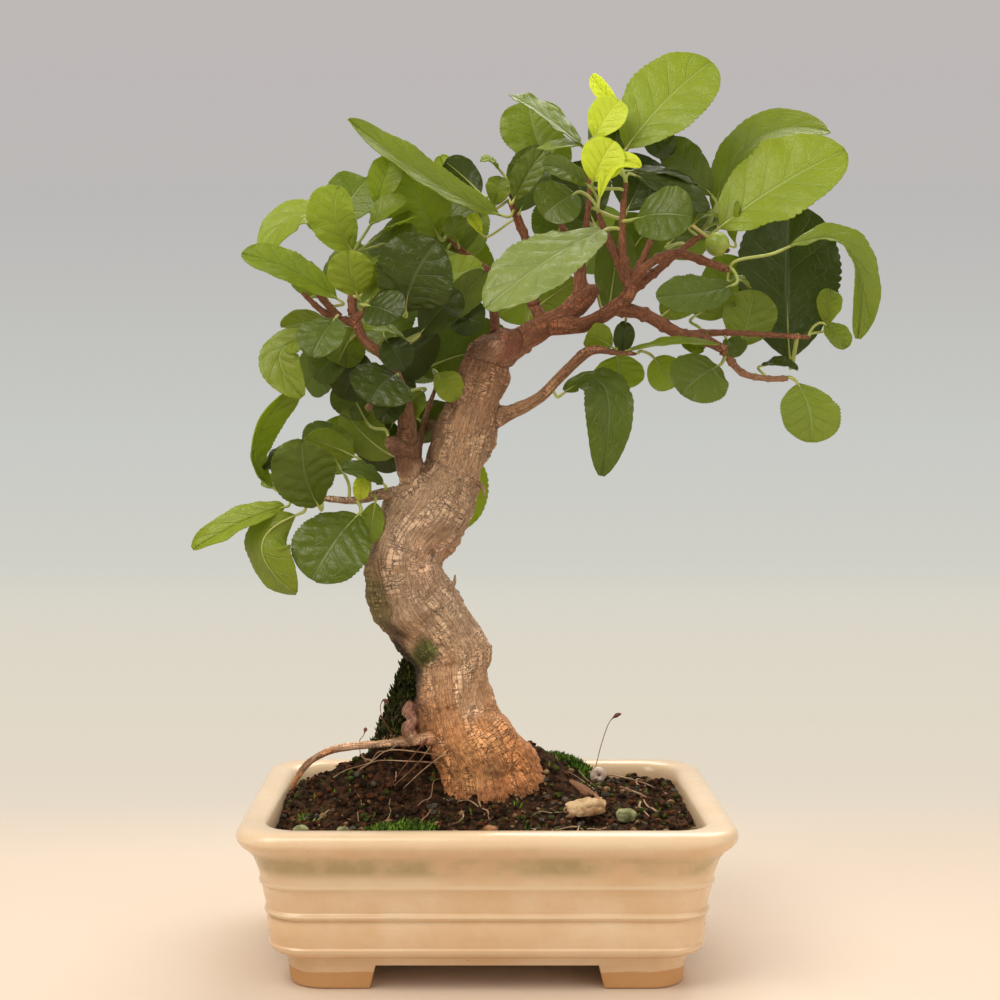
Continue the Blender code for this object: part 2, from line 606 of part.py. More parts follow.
def make_leaf(name, leaf):
    """A leaf: a thin stalk, then a blade folded a little along its midrib."""
    foot, middle, tip = (on_sight_line(point) for point in (leaf.foot, leaf.middle, leaf.tip))
    bend = 2 * middle - (foot + tip) / 2
    face = Vector(leaf.face).normalized()
    stations = ((0.0, 0.05, 0.7), (0.1, 0.06, 0.8), (0.28, 0.4, 1), (0.52, 0.5, 1), (0.78, 0.4, 1), (0.93, 0.2, 0.9), (1.0, 0.04, 0.6))
    rings = []
    for share, half, thick in stations:
        centre = (1 - share) ** 2 * foot + 2 * share * (1 - share) * bend + share**2 * tip
        along = ((1 - share) * (bend - foot) + share * (tip - bend)).normalized()
        up = (face - along * face.dot(along)).normalized()
        side = along.cross(up) * leaf.width * half
        rise = up * leaf.width * half * LEAF_FOLD
        body = up * LEAF_THICKNESS / 2 * thick
        rings.append([centre + side + rise, centre + body, centre - side + rise, centre - body])
    add_object(name, *loft(rings), "leaf", sharp_angle=80.0)


def make_berry():
    """The one fruit, round on a thin stalk."""
    centre = on_sight_line(BERRY_CENTRE)
    bpy.ops.mesh.primitive_uv_sphere_add(segments=16, ring_count=10, radius=BERRY_RADIUS * MM, location=centre * MM)
    berry = bpy.context.object
    berry.name = "berry"
    berry.data.shade_smooth()
    berry.data.materials.append(material("berry"))
    boolean(berry, helper(add_object("berry_stalk", *wood_skin(BERRY_STALK, TWIG_SIDES), "berry")), "UNION")


def set_origin():
    """Stands everything on an empty so that the world's origin is under the middle of the whole."""
    bpy.context.view_layer.update()
    graph = bpy.context.evaluated_depsgraph_get()
    corners = []
    made = [item for item in bpy.data.objects if item.type == "MESH"]
    for item in made:
        if item.hide_render:
            continue
        shape = item.evaluated_get(graph)
        corners += [shape.matrix_world @ vertex.co for vertex in shape.data.vertices]
    low = [min(corner[axis] for corner in corners) for axis in range(3)]
    high = [max(corner[axis] for corner in corners) for axis in range(3)]
    stand = bpy.data.objects.new("stand", None)
    bpy.context.collection.objects.link(stand)
    for item in made:
        item.parent = stand
    stand.location = (-(low[0] + high[0]) / 2, -(low[1] + high[1]) / 2, -low[2])


def main():
    for item in list(bpy.data.objects):
        bpy.data.objects.remove(item)
    make_pot()
    make_screen("drain_screen_left", -DRAIN_SPACING / 2)
    make_screen("drain_screen_right", DRAIN_SPACING / 2)
    make_soil(list(root_pockets()))
    for name, pad in MOSS_MATS.items():
        make_moss(name, *pad)
    for index, pebble in enumerate(PEBBLES, 1):
        make_pebble(f"pebble_{index}", *pebble)
    make_snail_shell()
    make_bark_curl()
    make_tree()
    for shoot, leaves in LEAVES.items():
        for index, leaf in enumerate(leaves, 1):
            make_leaf(f"leaf_{shoot}_{index}", leaf)
    make_berry()
    set_origin()


main()
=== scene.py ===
"""The bonsai tree in its glazed pot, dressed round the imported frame.

The tree is laid out on its front elevation, as a bonsai is styled. The tables give (x, z, depth) in
millimetres from the middle of the pot's footprint, and Elevation.place carries each point along the
line from the viewer's eye to its depth. Everything built is in metres, in the frame's own axes.
"""

import logging
import math
from dataclasses import dataclass
from enum import Enum
from random import Random

import bpy
import numpy as np
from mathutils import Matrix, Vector, noise


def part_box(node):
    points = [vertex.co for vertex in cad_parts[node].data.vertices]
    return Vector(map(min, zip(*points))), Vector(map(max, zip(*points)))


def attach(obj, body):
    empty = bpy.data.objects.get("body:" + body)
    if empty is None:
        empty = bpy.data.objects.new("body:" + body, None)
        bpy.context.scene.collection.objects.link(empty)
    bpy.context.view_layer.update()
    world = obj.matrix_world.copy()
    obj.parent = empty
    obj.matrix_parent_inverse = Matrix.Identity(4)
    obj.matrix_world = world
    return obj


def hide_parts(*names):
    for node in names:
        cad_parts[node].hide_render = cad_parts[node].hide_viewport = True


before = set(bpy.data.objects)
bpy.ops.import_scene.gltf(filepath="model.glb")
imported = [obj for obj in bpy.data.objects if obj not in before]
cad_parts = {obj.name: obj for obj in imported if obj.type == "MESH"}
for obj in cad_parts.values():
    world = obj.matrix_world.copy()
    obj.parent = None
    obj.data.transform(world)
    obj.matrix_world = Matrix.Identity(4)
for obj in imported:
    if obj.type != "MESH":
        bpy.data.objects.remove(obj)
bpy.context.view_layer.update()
LOG = logging.getLogger("bonsai")
MM = 0.001
BODY = "root"

Spot = tuple[float, float, float]
Faces = list[tuple[int, ...]]
Piece = bpy.types.Object
Curve = tuple[Vector, Vector, Vector]
Socket = bpy.types.NodeSocket


# ============================================================================ placing
class Elevation:
    """The front elevation that the tree is drawn on, and the eye that it is drawn from."""

    def __init__(self) -> None:
        """Takes the pot's middle from the frame."""
        low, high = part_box("pot")
        self.centre = Vector(((low.x + high.x) / 2, (low.y + high.y) / 2, low.z))
        self.eye = Vector((-6.4, -563.0, 174.0))

    def place(self, spot: Spot) -> Vector:
        """Carries a drawn point to its depth.

        Args:
            spot: x, z and depth in millimetres, depth running away from the viewer.

        Returns:
            The point in the frame, in metres.
        """
        x, z, depth = spot
        scale = (depth - self.eye.y) / -self.eye.y
        drawn = Vector((self.eye.x + (x - self.eye.x) * scale, depth, self.eye.z + (z - self.eye.z) * scale))
        return self.centre + drawn * MM

    def at(self, x: float, y: float, z: float) -> Vector:
        """A point given in millimetres from the middle of the pot's footprint."""
        return self.centre + Vector((x, y, z)) * MM


PLAN = Elevation()


# ============================================================================ modelling helpers
def deselect() -> None:
    """Leaves object mode ready for the next primitive, with nothing selected."""
    if bpy.context.object and bpy.context.object.mode != "OBJECT":
        bpy.ops.object.mode_set(mode="OBJECT")
    bpy.ops.object.select_all(action="DESELECT")


def edit_all() -> None:
    """Opens the active piece's mesh for editing, with all of it selected."""
    bpy.ops.object.mode_set(mode="EDIT")
    bpy.ops.mesh.select_all(action="SELECT")


def extrude(move: Spot | Vector) -> None:
    """Extrudes what is selected by a move in metres."""
    bpy.ops.mesh.extrude_region_move(TRANSFORM_OT_translate={"value": move})


def apply_scale() -> None:
    """Puts the selected piece's scale into its mesh."""
    bpy.ops.object.transform_apply(location=False, rotation=False, scale=True)


def ball(subdivisions: int) -> Piece:
    """An ico sphere of radius 1, to be shaped."""
    deselect()
    bpy.ops.mesh.primitive_ico_sphere_add(subdivisions=subdivisions, radius=1)
    return bpy.context.object


def sheet(columns: int, rows: int, size: float, place: Spot | Vector = (0, 0, 0)) -> Piece:
    """A flat square grid, to be shaped."""
    deselect()
    bpy.ops.mesh.primitive_grid_add(x_subdivisions=columns, y_subdivisions=rows, size=size, location=place)
    return bpy.context.object


def only(piece: Piece) -> None:
    """Makes a piece the one selected and active object."""
    deselect()
    piece.select_set(True)
    bpy.context.view_layer.objects.active = piece


def apply_modifiers(piece: Piece) -> None:
    """Applies every modifier of a piece in order."""
    only(piece)
    for modifier in list(piece.modifiers):
        bpy.ops.object.modifier_apply(modifier=modifier.name)


def settle(piece: Piece, smooth_angle: float = 50.0) -> Piece:
    """Puts a piece's place into its mesh, turns its faces outwards and shades it.

    Args:
        piece: The finished mesh object.
        smooth_angle: Edges sharper than this many degrees stay crisp.

    Returns:
        The same piece.
    """
    only(piece)
    bpy.ops.object.transform_apply(location=True, rotation=True, scale=True)
    edit_all()
    bpy.ops.mesh.normals_make_consistent(inside=False)
    bpy.ops.object.mode_set(mode="OBJECT")
    bpy.ops.object.shade_smooth_by_angle(angle=math.radians(smooth_angle))
    return piece


def hand_over(piece: Piece, nodes: tuple[str, ...] = ()) -> Piece:
    """Sets a finished piece on the one body and hides the CAD nodes that it stands for.

    Args:
        piece: The piece, which rides on the one body.
        nodes: The CAD nodes that it stands for.

    Returns:
        The same piece.
    """
    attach(piece, BODY)
    if nodes:
        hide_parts(*nodes)
    LOG.info("%s: %d faces, stands for %s", piece.name, len(piece.data.polygons), ", ".join(nodes) or "detail")
    return piece


def mesh_object(name: str, points: np.ndarray, faces: Faces, materials: list) -> Piece:
    """An object from points and faces, for grown shapes that primitives can't follow.

    Args:
        name: The piece's name.
        points: Its corners, one row each, in metres.
        faces: Rows of corner numbers.
        materials: Its materials, in slot order.

    Returns:
        The linked object.
    """
    mesh = bpy.data.meshes.new(name)
    mesh.from_pydata([tuple(map(float, point)) for point in points], [], faces)
    mesh.update()
    for material in materials:
        mesh.materials.append(material)
    made = bpy.data.objects.new(name, mesh)
    bpy.context.collection.objects.link(made)
    return made


class Heap:
    """Many small closed skins gathered into one mesh."""

    def __init__(self) -> None:
        """Starts empty."""
        self.points: list[Vector] = []
        self.faces: Faces = []
        self.tones: list[int] = []

    def add(self, points: list[Vector], faces: Faces, tone: int = 0) -> None:
        """Adds one skin, whose material has the number tone."""
        start = len(self.points)
        self.points += points
        self.faces += [tuple(start + index for index in face) for face in faces]
        self.tones += [tone] * len(faces)

    def piece(self, name: str, materials: list) -> Piece:
        """The gathered mesh as an object."""
        made = mesh_object(name, np.array(self.points), self.faces, materials)
        made.data.polygons.foreach_set("material_index", self.tones)
        return made


def join(pieces: list[Piece], name: str) -> Piece:
    """Joins pieces into the first of them and renames it."""
    only(pieces[0])
    for piece in pieces:
        piece.select_set(True)
    bpy.ops.object.join()
    pieces[0].name = name
    return pieces[0]


def smooth_path(points: list[Vector], step: float) -> list[Vector]:
    """A smooth curve through given points.

    Args:
        points: The points, two or more.
        step: The distance between the points returned, in the points' own unit.

    Returns:
        Points along a centripetal spline through all of them.
    """
    ends = [2 * points[0] - points[1], *points, 2 * points[-1] - points[-2]]
    path = []
    for before, start, end, after in zip(ends, ends[1:], ends[2:], ends[3:]):
        count = max(2, math.ceil((end - start).length / step))
        for k in range(count):
            t = k / count
            path.append(
                0.5
                * (
                    2 * start
                    + (end - before) * t
                    + (2 * before - 5 * start + 4 * end - after) * t**2
                    + (3 * start - before - 3 * end + after) * t**3
                )
            )
    path.append(points[-1])
    return path


def share_of_path(path: list[Vector]) -> list[float]:
    """How far along the path each point lies, from 0 to 1."""
    run = [0.0]
    for before, after in zip(path, path[1:]):
        run.append(run[-1] + (after - before).length)
    return [value / run[-1] for value in run]


def heading(path: list[Vector], k: int) -> Vector:
    """The direction of a path at its point k."""
    return (path[min(k + 1, len(path) - 1)] - path[max(k - 1, 0)]).normalized()


def tube(path: list[Vector], radii: list[float], sides: int) -> tuple[list[Vector], Faces, list[Vector]]:
    """The closed skin of a tube along a path.

    Args:
        path: Its centre line.
        radii: Its radius at each point of the path.
        sides: How many sides it has.

    Returns:
        Its points, its faces, and each point's grain: the place round the tube and along it.
    """
    points, grain, faces = [], [], []
    side = None
    run = 0.0
    for k, centre in enumerate(path):
        along = heading(path, k)
        if side is None:
            side = along.cross(Vector((0, 1, 0))).normalized()
        side = (side - along * side.dot(along)).normalized()
        other = along.cross(side)
        run += (centre - path[k - 1]).length if k else 0.0
        for step in range(sides):
            angle = math.tau * step / sides
            across = radii[k] * (math.cos(angle) * side + math.sin(angle) * other)
            points.append(centre + across)
            grain.append(Vector((radii[k] * math.cos(angle), radii[k] * math.sin(angle), run)))
            if k:
                first = (k - 1) * sides
                after = (step + 1) % sides
                faces.append((first + step, first + after, first + sides + after, first + sides + step))
    faces.append(tuple(reversed(range(sides))))
    faces.append(tuple(range(len(points) - sides, len(points))))
    return points, faces, grain


def rod(name: str, path: list[Vector], radii: list[float], sides: int, material: bpy.types.Material) -> Piece:
    """A closed tube as an object."""
    points, faces, _ = tube(path, radii, sides)
    return mesh_object(name, np.array(points), faces, [material])


# ============================================================================ finishes
class Recipe:
    """A material's node tree, written as short sentences."""

    def __init__(self, name: str) -> None:
        """Starts an empty material of that name."""
        self.material = bpy.data.materials.new(name)
        self.material.use_nodes = True
        self.tree = self.material.node_tree
        self.tree.nodes.clear()

    def node(self, kind: str, settings: dict | None = None, **inputs: object) -> bpy.types.Node:
        """Adds a node.

        Args:
            kind: Its Blender type without "ShaderNode".
            settings: Properties of the node itself.
            **inputs: Values or sockets for its inputs; spaces in a name are written as underscores, and
                an input without a name of its own as i0, i1 and so on.

        Returns:
            The new node.
        """
        made = self.tree.nodes.new("ShaderNode" + kind)
        for key, value in (settings or {}).items():
            setattr(made, key, value)
        for key, value in inputs.items():
            numbered = key[0] == "i" and key[1:].isdigit()
            socket = made.inputs[int(key[1:]) if numbered else key.replace("_", " ")]
            if isinstance(value, Socket):
                self.tree.links.new(value, socket)
            else:
                socket.default_value = value
        return made

    def math(self, operation: str, *values: object) -> Socket:
        """The result of a Math node."""
        inputs = {f"i{index}": value for index, value in enumerate(values)}
        return self.node("Math", {"operation": operation}, **inputs).outputs[0]

    def times(self, first: object, second: object) -> Socket:
        """The product of two values."""
        return self.math("MULTIPLY", first, second)

    def plus(self, first: object, second: object) -> Socket:
        """The sum of two values."""
        return self.math("ADD", first, second)

    def ramp(self, value: Socket, *stops: tuple) -> Socket:
        """A colour read from stops of (place, (r, g, b)) by a value from 0 to 1."""
        made = self.node("ValToRGB", Fac=value)
        elements = made.color_ramp.elements
        while len(elements) < len(stops):
            elements.new(0.5)
        for element, (place, colour) in zip(elements, stops):
            element.position = place
            element.color = (*colour, 1)
        return made.outputs["Color"]

    def span(self, value: Socket, low: float, high: float) -> Socket:
        """0 where the value is at low, 1 where it is at high, smooth between."""
        settings = {"interpolation_type": "SMOOTHSTEP"}
        return self.node("MapRange", settings, Value=value, From_Min=low, From_Max=high).outputs[0]

    def mix(self, share: object, first: object, second: object, blend: str = "MIX") -> Socket:
        """Mixes two colours."""
        settings = {"data_type": "RGBA", "blend_type": blend}
        colours = [(*c, 1) if isinstance(c, tuple) and len(c) == 3 else c for c in (first, second)]
        return self.node("Mix", settings, i0=share, i6=colours[0], i7=colours[1]).outputs[2]

    def coordinates(self, source: str, scale: Spot = (1.0, 1.0, 1.0)) -> Socket:
        """Coordinates to lay a pattern by.

        Args:
            source: "Object", "UV", or the name of an attribute of the mesh.
            scale: How much the pattern shrinks along each axis.

        Returns:
            The scaled vector.
        """
        if source in ("Object", "UV"):
            vector = self.node("TexCoord").outputs[source]
        else:
            vector = self.node("Attribute", {"attribute_name": source}).outputs["Vector"]
        return self.node("Mapping", Vector=vector, Scale=scale).outputs[0]

    def noise(self, vector: Socket, scale: float, detail: float = 4.0) -> Socket:
        """Soft noise from 0 to 1."""
        return self.node("TexNoise", Vector=vector, Scale=scale, Detail=detail, Roughness=0.6).outputs[0]

    def cells(self, vector: Socket, scale: float, feature: str = "DISTANCE_TO_EDGE") -> Socket:
        """The distance to the nearest cell's edge, or to its middle with feature F1."""
        return self.node("TexVoronoi", {"feature": feature}, Vector=vector, Scale=scale).outputs["Distance"]

    def bump(self, height: Socket, distance: float, strength: float = 1.0) -> Socket:
        """A surface normal from a height pattern; distance is in metres."""
        return self.node("Bump", Height=height, Distance=distance, Strength=strength).outputs[0]

    def blend(self, share: object, first: bpy.types.Node, second: bpy.types.Node) -> Socket:
        """Mixes two shaders."""
        return self.node("MixShader", Fac=share, i1=first.outputs[0], i2=second.outputs[0]).outputs[0]

    def close(self, surface: Socket) -> bpy.types.Material:
        """Wires the surface to the output and gives the material."""
        self.node("OutputMaterial", Surface=surface)
        return self.material


@dataclass(frozen=True)
class GlazeFinish:
    """Cream satin glaze, thin and pale on raised lines, over buff clay that is bare at the feet."""

    cream: Spot = (0.72, 0.49, 0.28)
    pale: Spot = (0.80, 0.62, 0.42)
    khaki: Spot = (0.46, 0.35, 0.18)
    clay: Spot = (0.56, 0.29, 0.10)
    lines: Spot = (0.0128, 0.0236, 0.0330)  # heights of the raised lines, in metres

    def material(self) -> bpy.types.Material:
        """The glaze as a material."""
        recipe = Recipe("cream_glaze")
        place = recipe.coordinates("Object")
        height = recipe.node("SeparateXYZ", Vector=place).outputs["Z"]
        cloud = recipe.noise(place, 38.0)
        colour = recipe.mix(recipe.span(cloud, 0.3, 0.75), self.cream, self.pale)
        under_lip = recipe.times(recipe.span(height, 0.0345, 0.0385), recipe.span(height, 0.0445, 0.041))
        colour = recipe.mix(recipe.times(under_lip, recipe.span(cloud, 0.35, 0.65)), colour, self.khaki)
        # Painted highlight: the rolled lip's top, facing the key light, is mixed towards the pale colour.
        lip = recipe.span(height, 0.0445, 0.048)
        colour = recipe.mix(recipe.times(lip, 0.55), colour, self.pale)
        for line in self.lines:
            near = recipe.math("ABSOLUTE", recipe.math("SUBTRACT", height, line))
            colour = recipe.mix(recipe.times(recipe.span(near, 0.0009, 0.0002), 0.75), colour, self.pale)
        streaks = recipe.noise(recipe.coordinates("Object", (1, 1, 7)), 55.0)
        colour = recipe.mix(recipe.times(recipe.span(streaks, 0.52, 0.75), 0.12), colour, self.khaki)
        specks = recipe.span(recipe.cells(place, 260.0, "F1"), 0.09, 0.03)
        rare = recipe.span(recipe.noise(place, 90.0), 0.58, 0.66)
        colour = recipe.mix(recipe.times(specks, rare), colour, (0.10, 0.06, 0.03))
        ragged = recipe.plus(height, recipe.times(recipe.noise(place, 120.0), 0.0022))
        bare = recipe.span(ragged, 0.0068, 0.0060)
        colour = recipe.mix(bare, colour, recipe.mix(cloud, self.clay, (0.62, 0.36, 0.17)))
        rough = recipe.node("MapRange", Value=bare, To_Min=0.27, To_Max=0.85).outputs[0]
        waves = recipe.plus(recipe.noise(place, 60.0), recipe.times(recipe.noise(place, 900.0), 0.18))
        shader = recipe.node(
            "BsdfPrincipled", Base_Color=colour, Roughness=rough, Normal=recipe.bump(waves, 0.00035),
            Coat_Weight=0.25, Coat_Roughness=0.12,
        )
        return recipe.close(shader.outputs[0])


@dataclass(frozen=True)
class BarkFinish:
    """Flaking bark that takes its main colour from the mesh's tint and its pattern from its grain."""

    name: str
    plates: float = 0.6  # cells to the millimetre across the grain
    stretch: float = 0.14  # along the grain, against across it
    fissure: Spot = (0.06, 0.033, 0.02)
    relief: float = 0.0006

    def material(self) -> bpy.types.Material:
        """The bark as a material."""
        recipe = Recipe(self.name)
        grain = recipe.coordinates("grain", (1, 1, self.stretch))
        tint = recipe.node("Attribute", {"attribute_name": "tint"}).outputs["Color"]
        warp = recipe.node("TexNoise", Vector=grain, Scale=0.45, Detail=4.0).outputs["Color"]
        edges = recipe.cells(recipe.mix(0.9, grain, warp, "ADD"), self.plates)
        fine = recipe.noise(grain, 2.4, 6.0)
        coarse = recipe.noise(recipe.coordinates("grain", (1, 1, 0.55)), 0.17, 4.0)
        crosswise = recipe.mix(0.35, recipe.coordinates("grain", (0.5, 0.5, 1.5)), warp, "ADD")
        shelves = recipe.span(recipe.cells(crosswise, 0.4), 0.07, 0.0)
        ledges = recipe.times(shelves, recipe.span(coarse, 0.46, 0.58))
        dull = recipe.mix(1.0, tint, (0.52, 0.48, 0.46), "MULTIPLY")
        light = recipe.mix(recipe.span(fine, 0.38, 0.62), dull, tint)
        worn = recipe.mix(1.0, tint, (1.45, 1.5, 1.6), "MULTIPLY")
        light = recipe.mix(recipe.span(coarse, 0.47, 0.63), light, worn)
        cracks = recipe.times(recipe.span(edges, 0.07, 0.0), recipe.span(coarse, 0.34, 0.6))
        dark = recipe.math("MAXIMUM", recipe.times(cracks, 0.55), recipe.times(ledges, 0.85))
        colour = recipe.mix(dark, light, self.fissure)
        height = recipe.plus(recipe.math("SUBTRACT", 1.0, dark), recipe.times(fine, 1.1))
        normal = recipe.bump(height, self.relief)
        shader = recipe.node("BsdfPrincipled", Base_Color=colour, Roughness=0.78, Normal=normal)
        return recipe.close(shader.outputs[0])


class Age(Enum):
    """How old a leaf is, which sets its colours: upper side, underside, light let through, gloss. The last member
    is no age but painted sheen.
    """

    YOUNG = ((0.72, 0.84, 0.06), (0.70, 0.80, 0.11), (0.82, 0.98, 0.05), 0.42)
    FRESH = ((0.22, 0.30, 0.022), (0.27, 0.32, 0.05), (0.40, 0.52, 0.02), 0.36)
    BRIGHT = ((0.27, 0.36, 0.025), (0.31, 0.38, 0.06), (0.52, 0.66, 0.02), 0.38)
    MATURE = ((0.118, 0.180, 0.012), (0.18, 0.22, 0.035), (0.26, 0.35, 0.012), 0.33)
    DARK = ((0.062, 0.102, 0.006), (0.12, 0.155, 0.022), (0.14, 0.20, 0.008), 0.30)
    # Painted reflection: these colours are lightened to paint the soft box's sheen on a glossy leaf.
    PALE = ((0.26, 0.35, 0.10), (0.28, 0.35, 0.10), (0.36, 0.48, 0.05), 0.30)


YOUNG, FRESH, BRIGHT, MATURE, DARK, PALE = Age


class Side(Enum):
    """The two sides of a blade."""

    UPPER = 0
    UNDER = 1


@dataclass(frozen=True)
class LeafFinish:
    """A leaf's skin: pale veins laid out by its own map, satin above, duller and paler below."""

    age: Age
    side: Side
    vein_pairs: float = 5.5
    vein_sweep: float = 1.5

    def material(self) -> bpy.types.Material:
        """The skin as a material."""
        upper, under, glow, gloss = self.age.value
        base = (upper, under)[self.side.value]
        recipe = Recipe(f"leaf_{self.age.name.lower()}_{self.side.name.lower()}")
        split = recipe.node("SeparateXYZ", Vector=recipe.coordinates("UV"))
        across = recipe.math("ABSOLUTE", recipe.math("MULTIPLY_ADD", split.outputs["X"], 2.0, -1.0))
        along = split.outputs["Y"]
        midrib = recipe.span(across, 0.065, 0.02)
        bend = recipe.math("POWER", across, 0.8)
        swept = recipe.times(bend, self.vein_sweep)
        phase = recipe.math("SUBTRACT", recipe.times(along, self.vein_pairs), swept)
        off = recipe.math("ABSOLUTE", recipe.math("SUBTRACT", recipe.math("FRACT", phase), 0.5))
        side_vein = recipe.times(recipe.span(off, 0.44, 0.495), recipe.span(across, 0.95, 0.4))
        net = recipe.cells(recipe.coordinates("UV", (9, 17, 1)), 1.0)
        fine_vein = recipe.times(recipe.span(net, 0.08, 0.01), 0.3)
        veins = recipe.math("MAXIMUM", recipe.math("MAXIMUM", midrib, side_vein), fine_vein)
        place = recipe.coordinates("Object")
        cloud = recipe.noise(place, 75.0)
        tone = recipe.node("Attribute", {"attribute_name": "tone"}).outputs["Fac"]
        deep = tuple(channel * 0.72 for channel in base)
        sunny = (base[0] * 1.35 + 0.01, base[1] * 1.18, base[2])
        shaded = recipe.mix(recipe.span(cloud, 0.28, 0.72), deep, base)
        colour = recipe.mix(tone, shaded, recipe.mix(cloud, base, sunny))
        pale = tuple(min(1.0, channel * 1.3 + 0.07) for channel in base)
        show = 0.62 if self.side is Side.UPPER else 0.7
        colour = recipe.mix(recipe.times(veins, show), colour, pale)
        dots = recipe.span(recipe.cells(place, 190.0, "F1"), 0.16, 0.1)
        fleck = recipe.times(dots, recipe.span(recipe.noise(place, 130.0), 0.6, 0.68))
        colour = recipe.mix(recipe.times(fleck, 0.7), colour, (0.20, 0.13, 0.03))
        through = recipe.mix(recipe.times(veins, 0.35), (*glow, 1), tuple(0.6 * channel for channel in glow))
        rough = gloss if self.side is Side.UPPER else 0.55
        down = -1.0 if self.side is Side.UPPER else 1.0
        relief = recipe.plus(recipe.times(veins, down), recipe.times(recipe.noise(place, 700.0), 0.25))
        normal = recipe.bump(relief, 0.0002)
        skin = recipe.node(
            "BsdfPrincipled", Base_Color=colour, Roughness=rough, Specular_IOR_Level=0.5, Normal=normal
        )
        lit = recipe.node("BsdfTranslucent", Color=through, Normal=normal)
        return recipe.close(recipe.blend(0.42, skin, lit))


@dataclass(frozen=True)
class MottledFinish:
    """A matt or satin surface of two colours, clouded and grained, for stalks, moss, crumbs and stones."""

    name: str
    first: Spot
    second: Spot
    roughness: float
    scale: float
    relief: float = 0.0002

    def material(self) -> bpy.types.Material:
        """The surface as a material."""
        recipe = Recipe(self.name)
        place = recipe.coordinates("Object")
        cloud = recipe.noise(place, self.scale, 5.0)
        colour = recipe.mix(recipe.span(cloud, 0.35, 0.65), self.first, self.second)
        grain = recipe.noise(place, self.scale * 6, 3.0)
        sheen = 0.5 if self.roughness < 0.8 else 0.12
        shader = recipe.node(
            "BsdfPrincipled", Base_Color=colour, Roughness=self.roughness, Specular_IOR_Level=sheen,
            Normal=recipe.bump(grain, self.relief),
        )
        return recipe.close(shader.outputs[0])


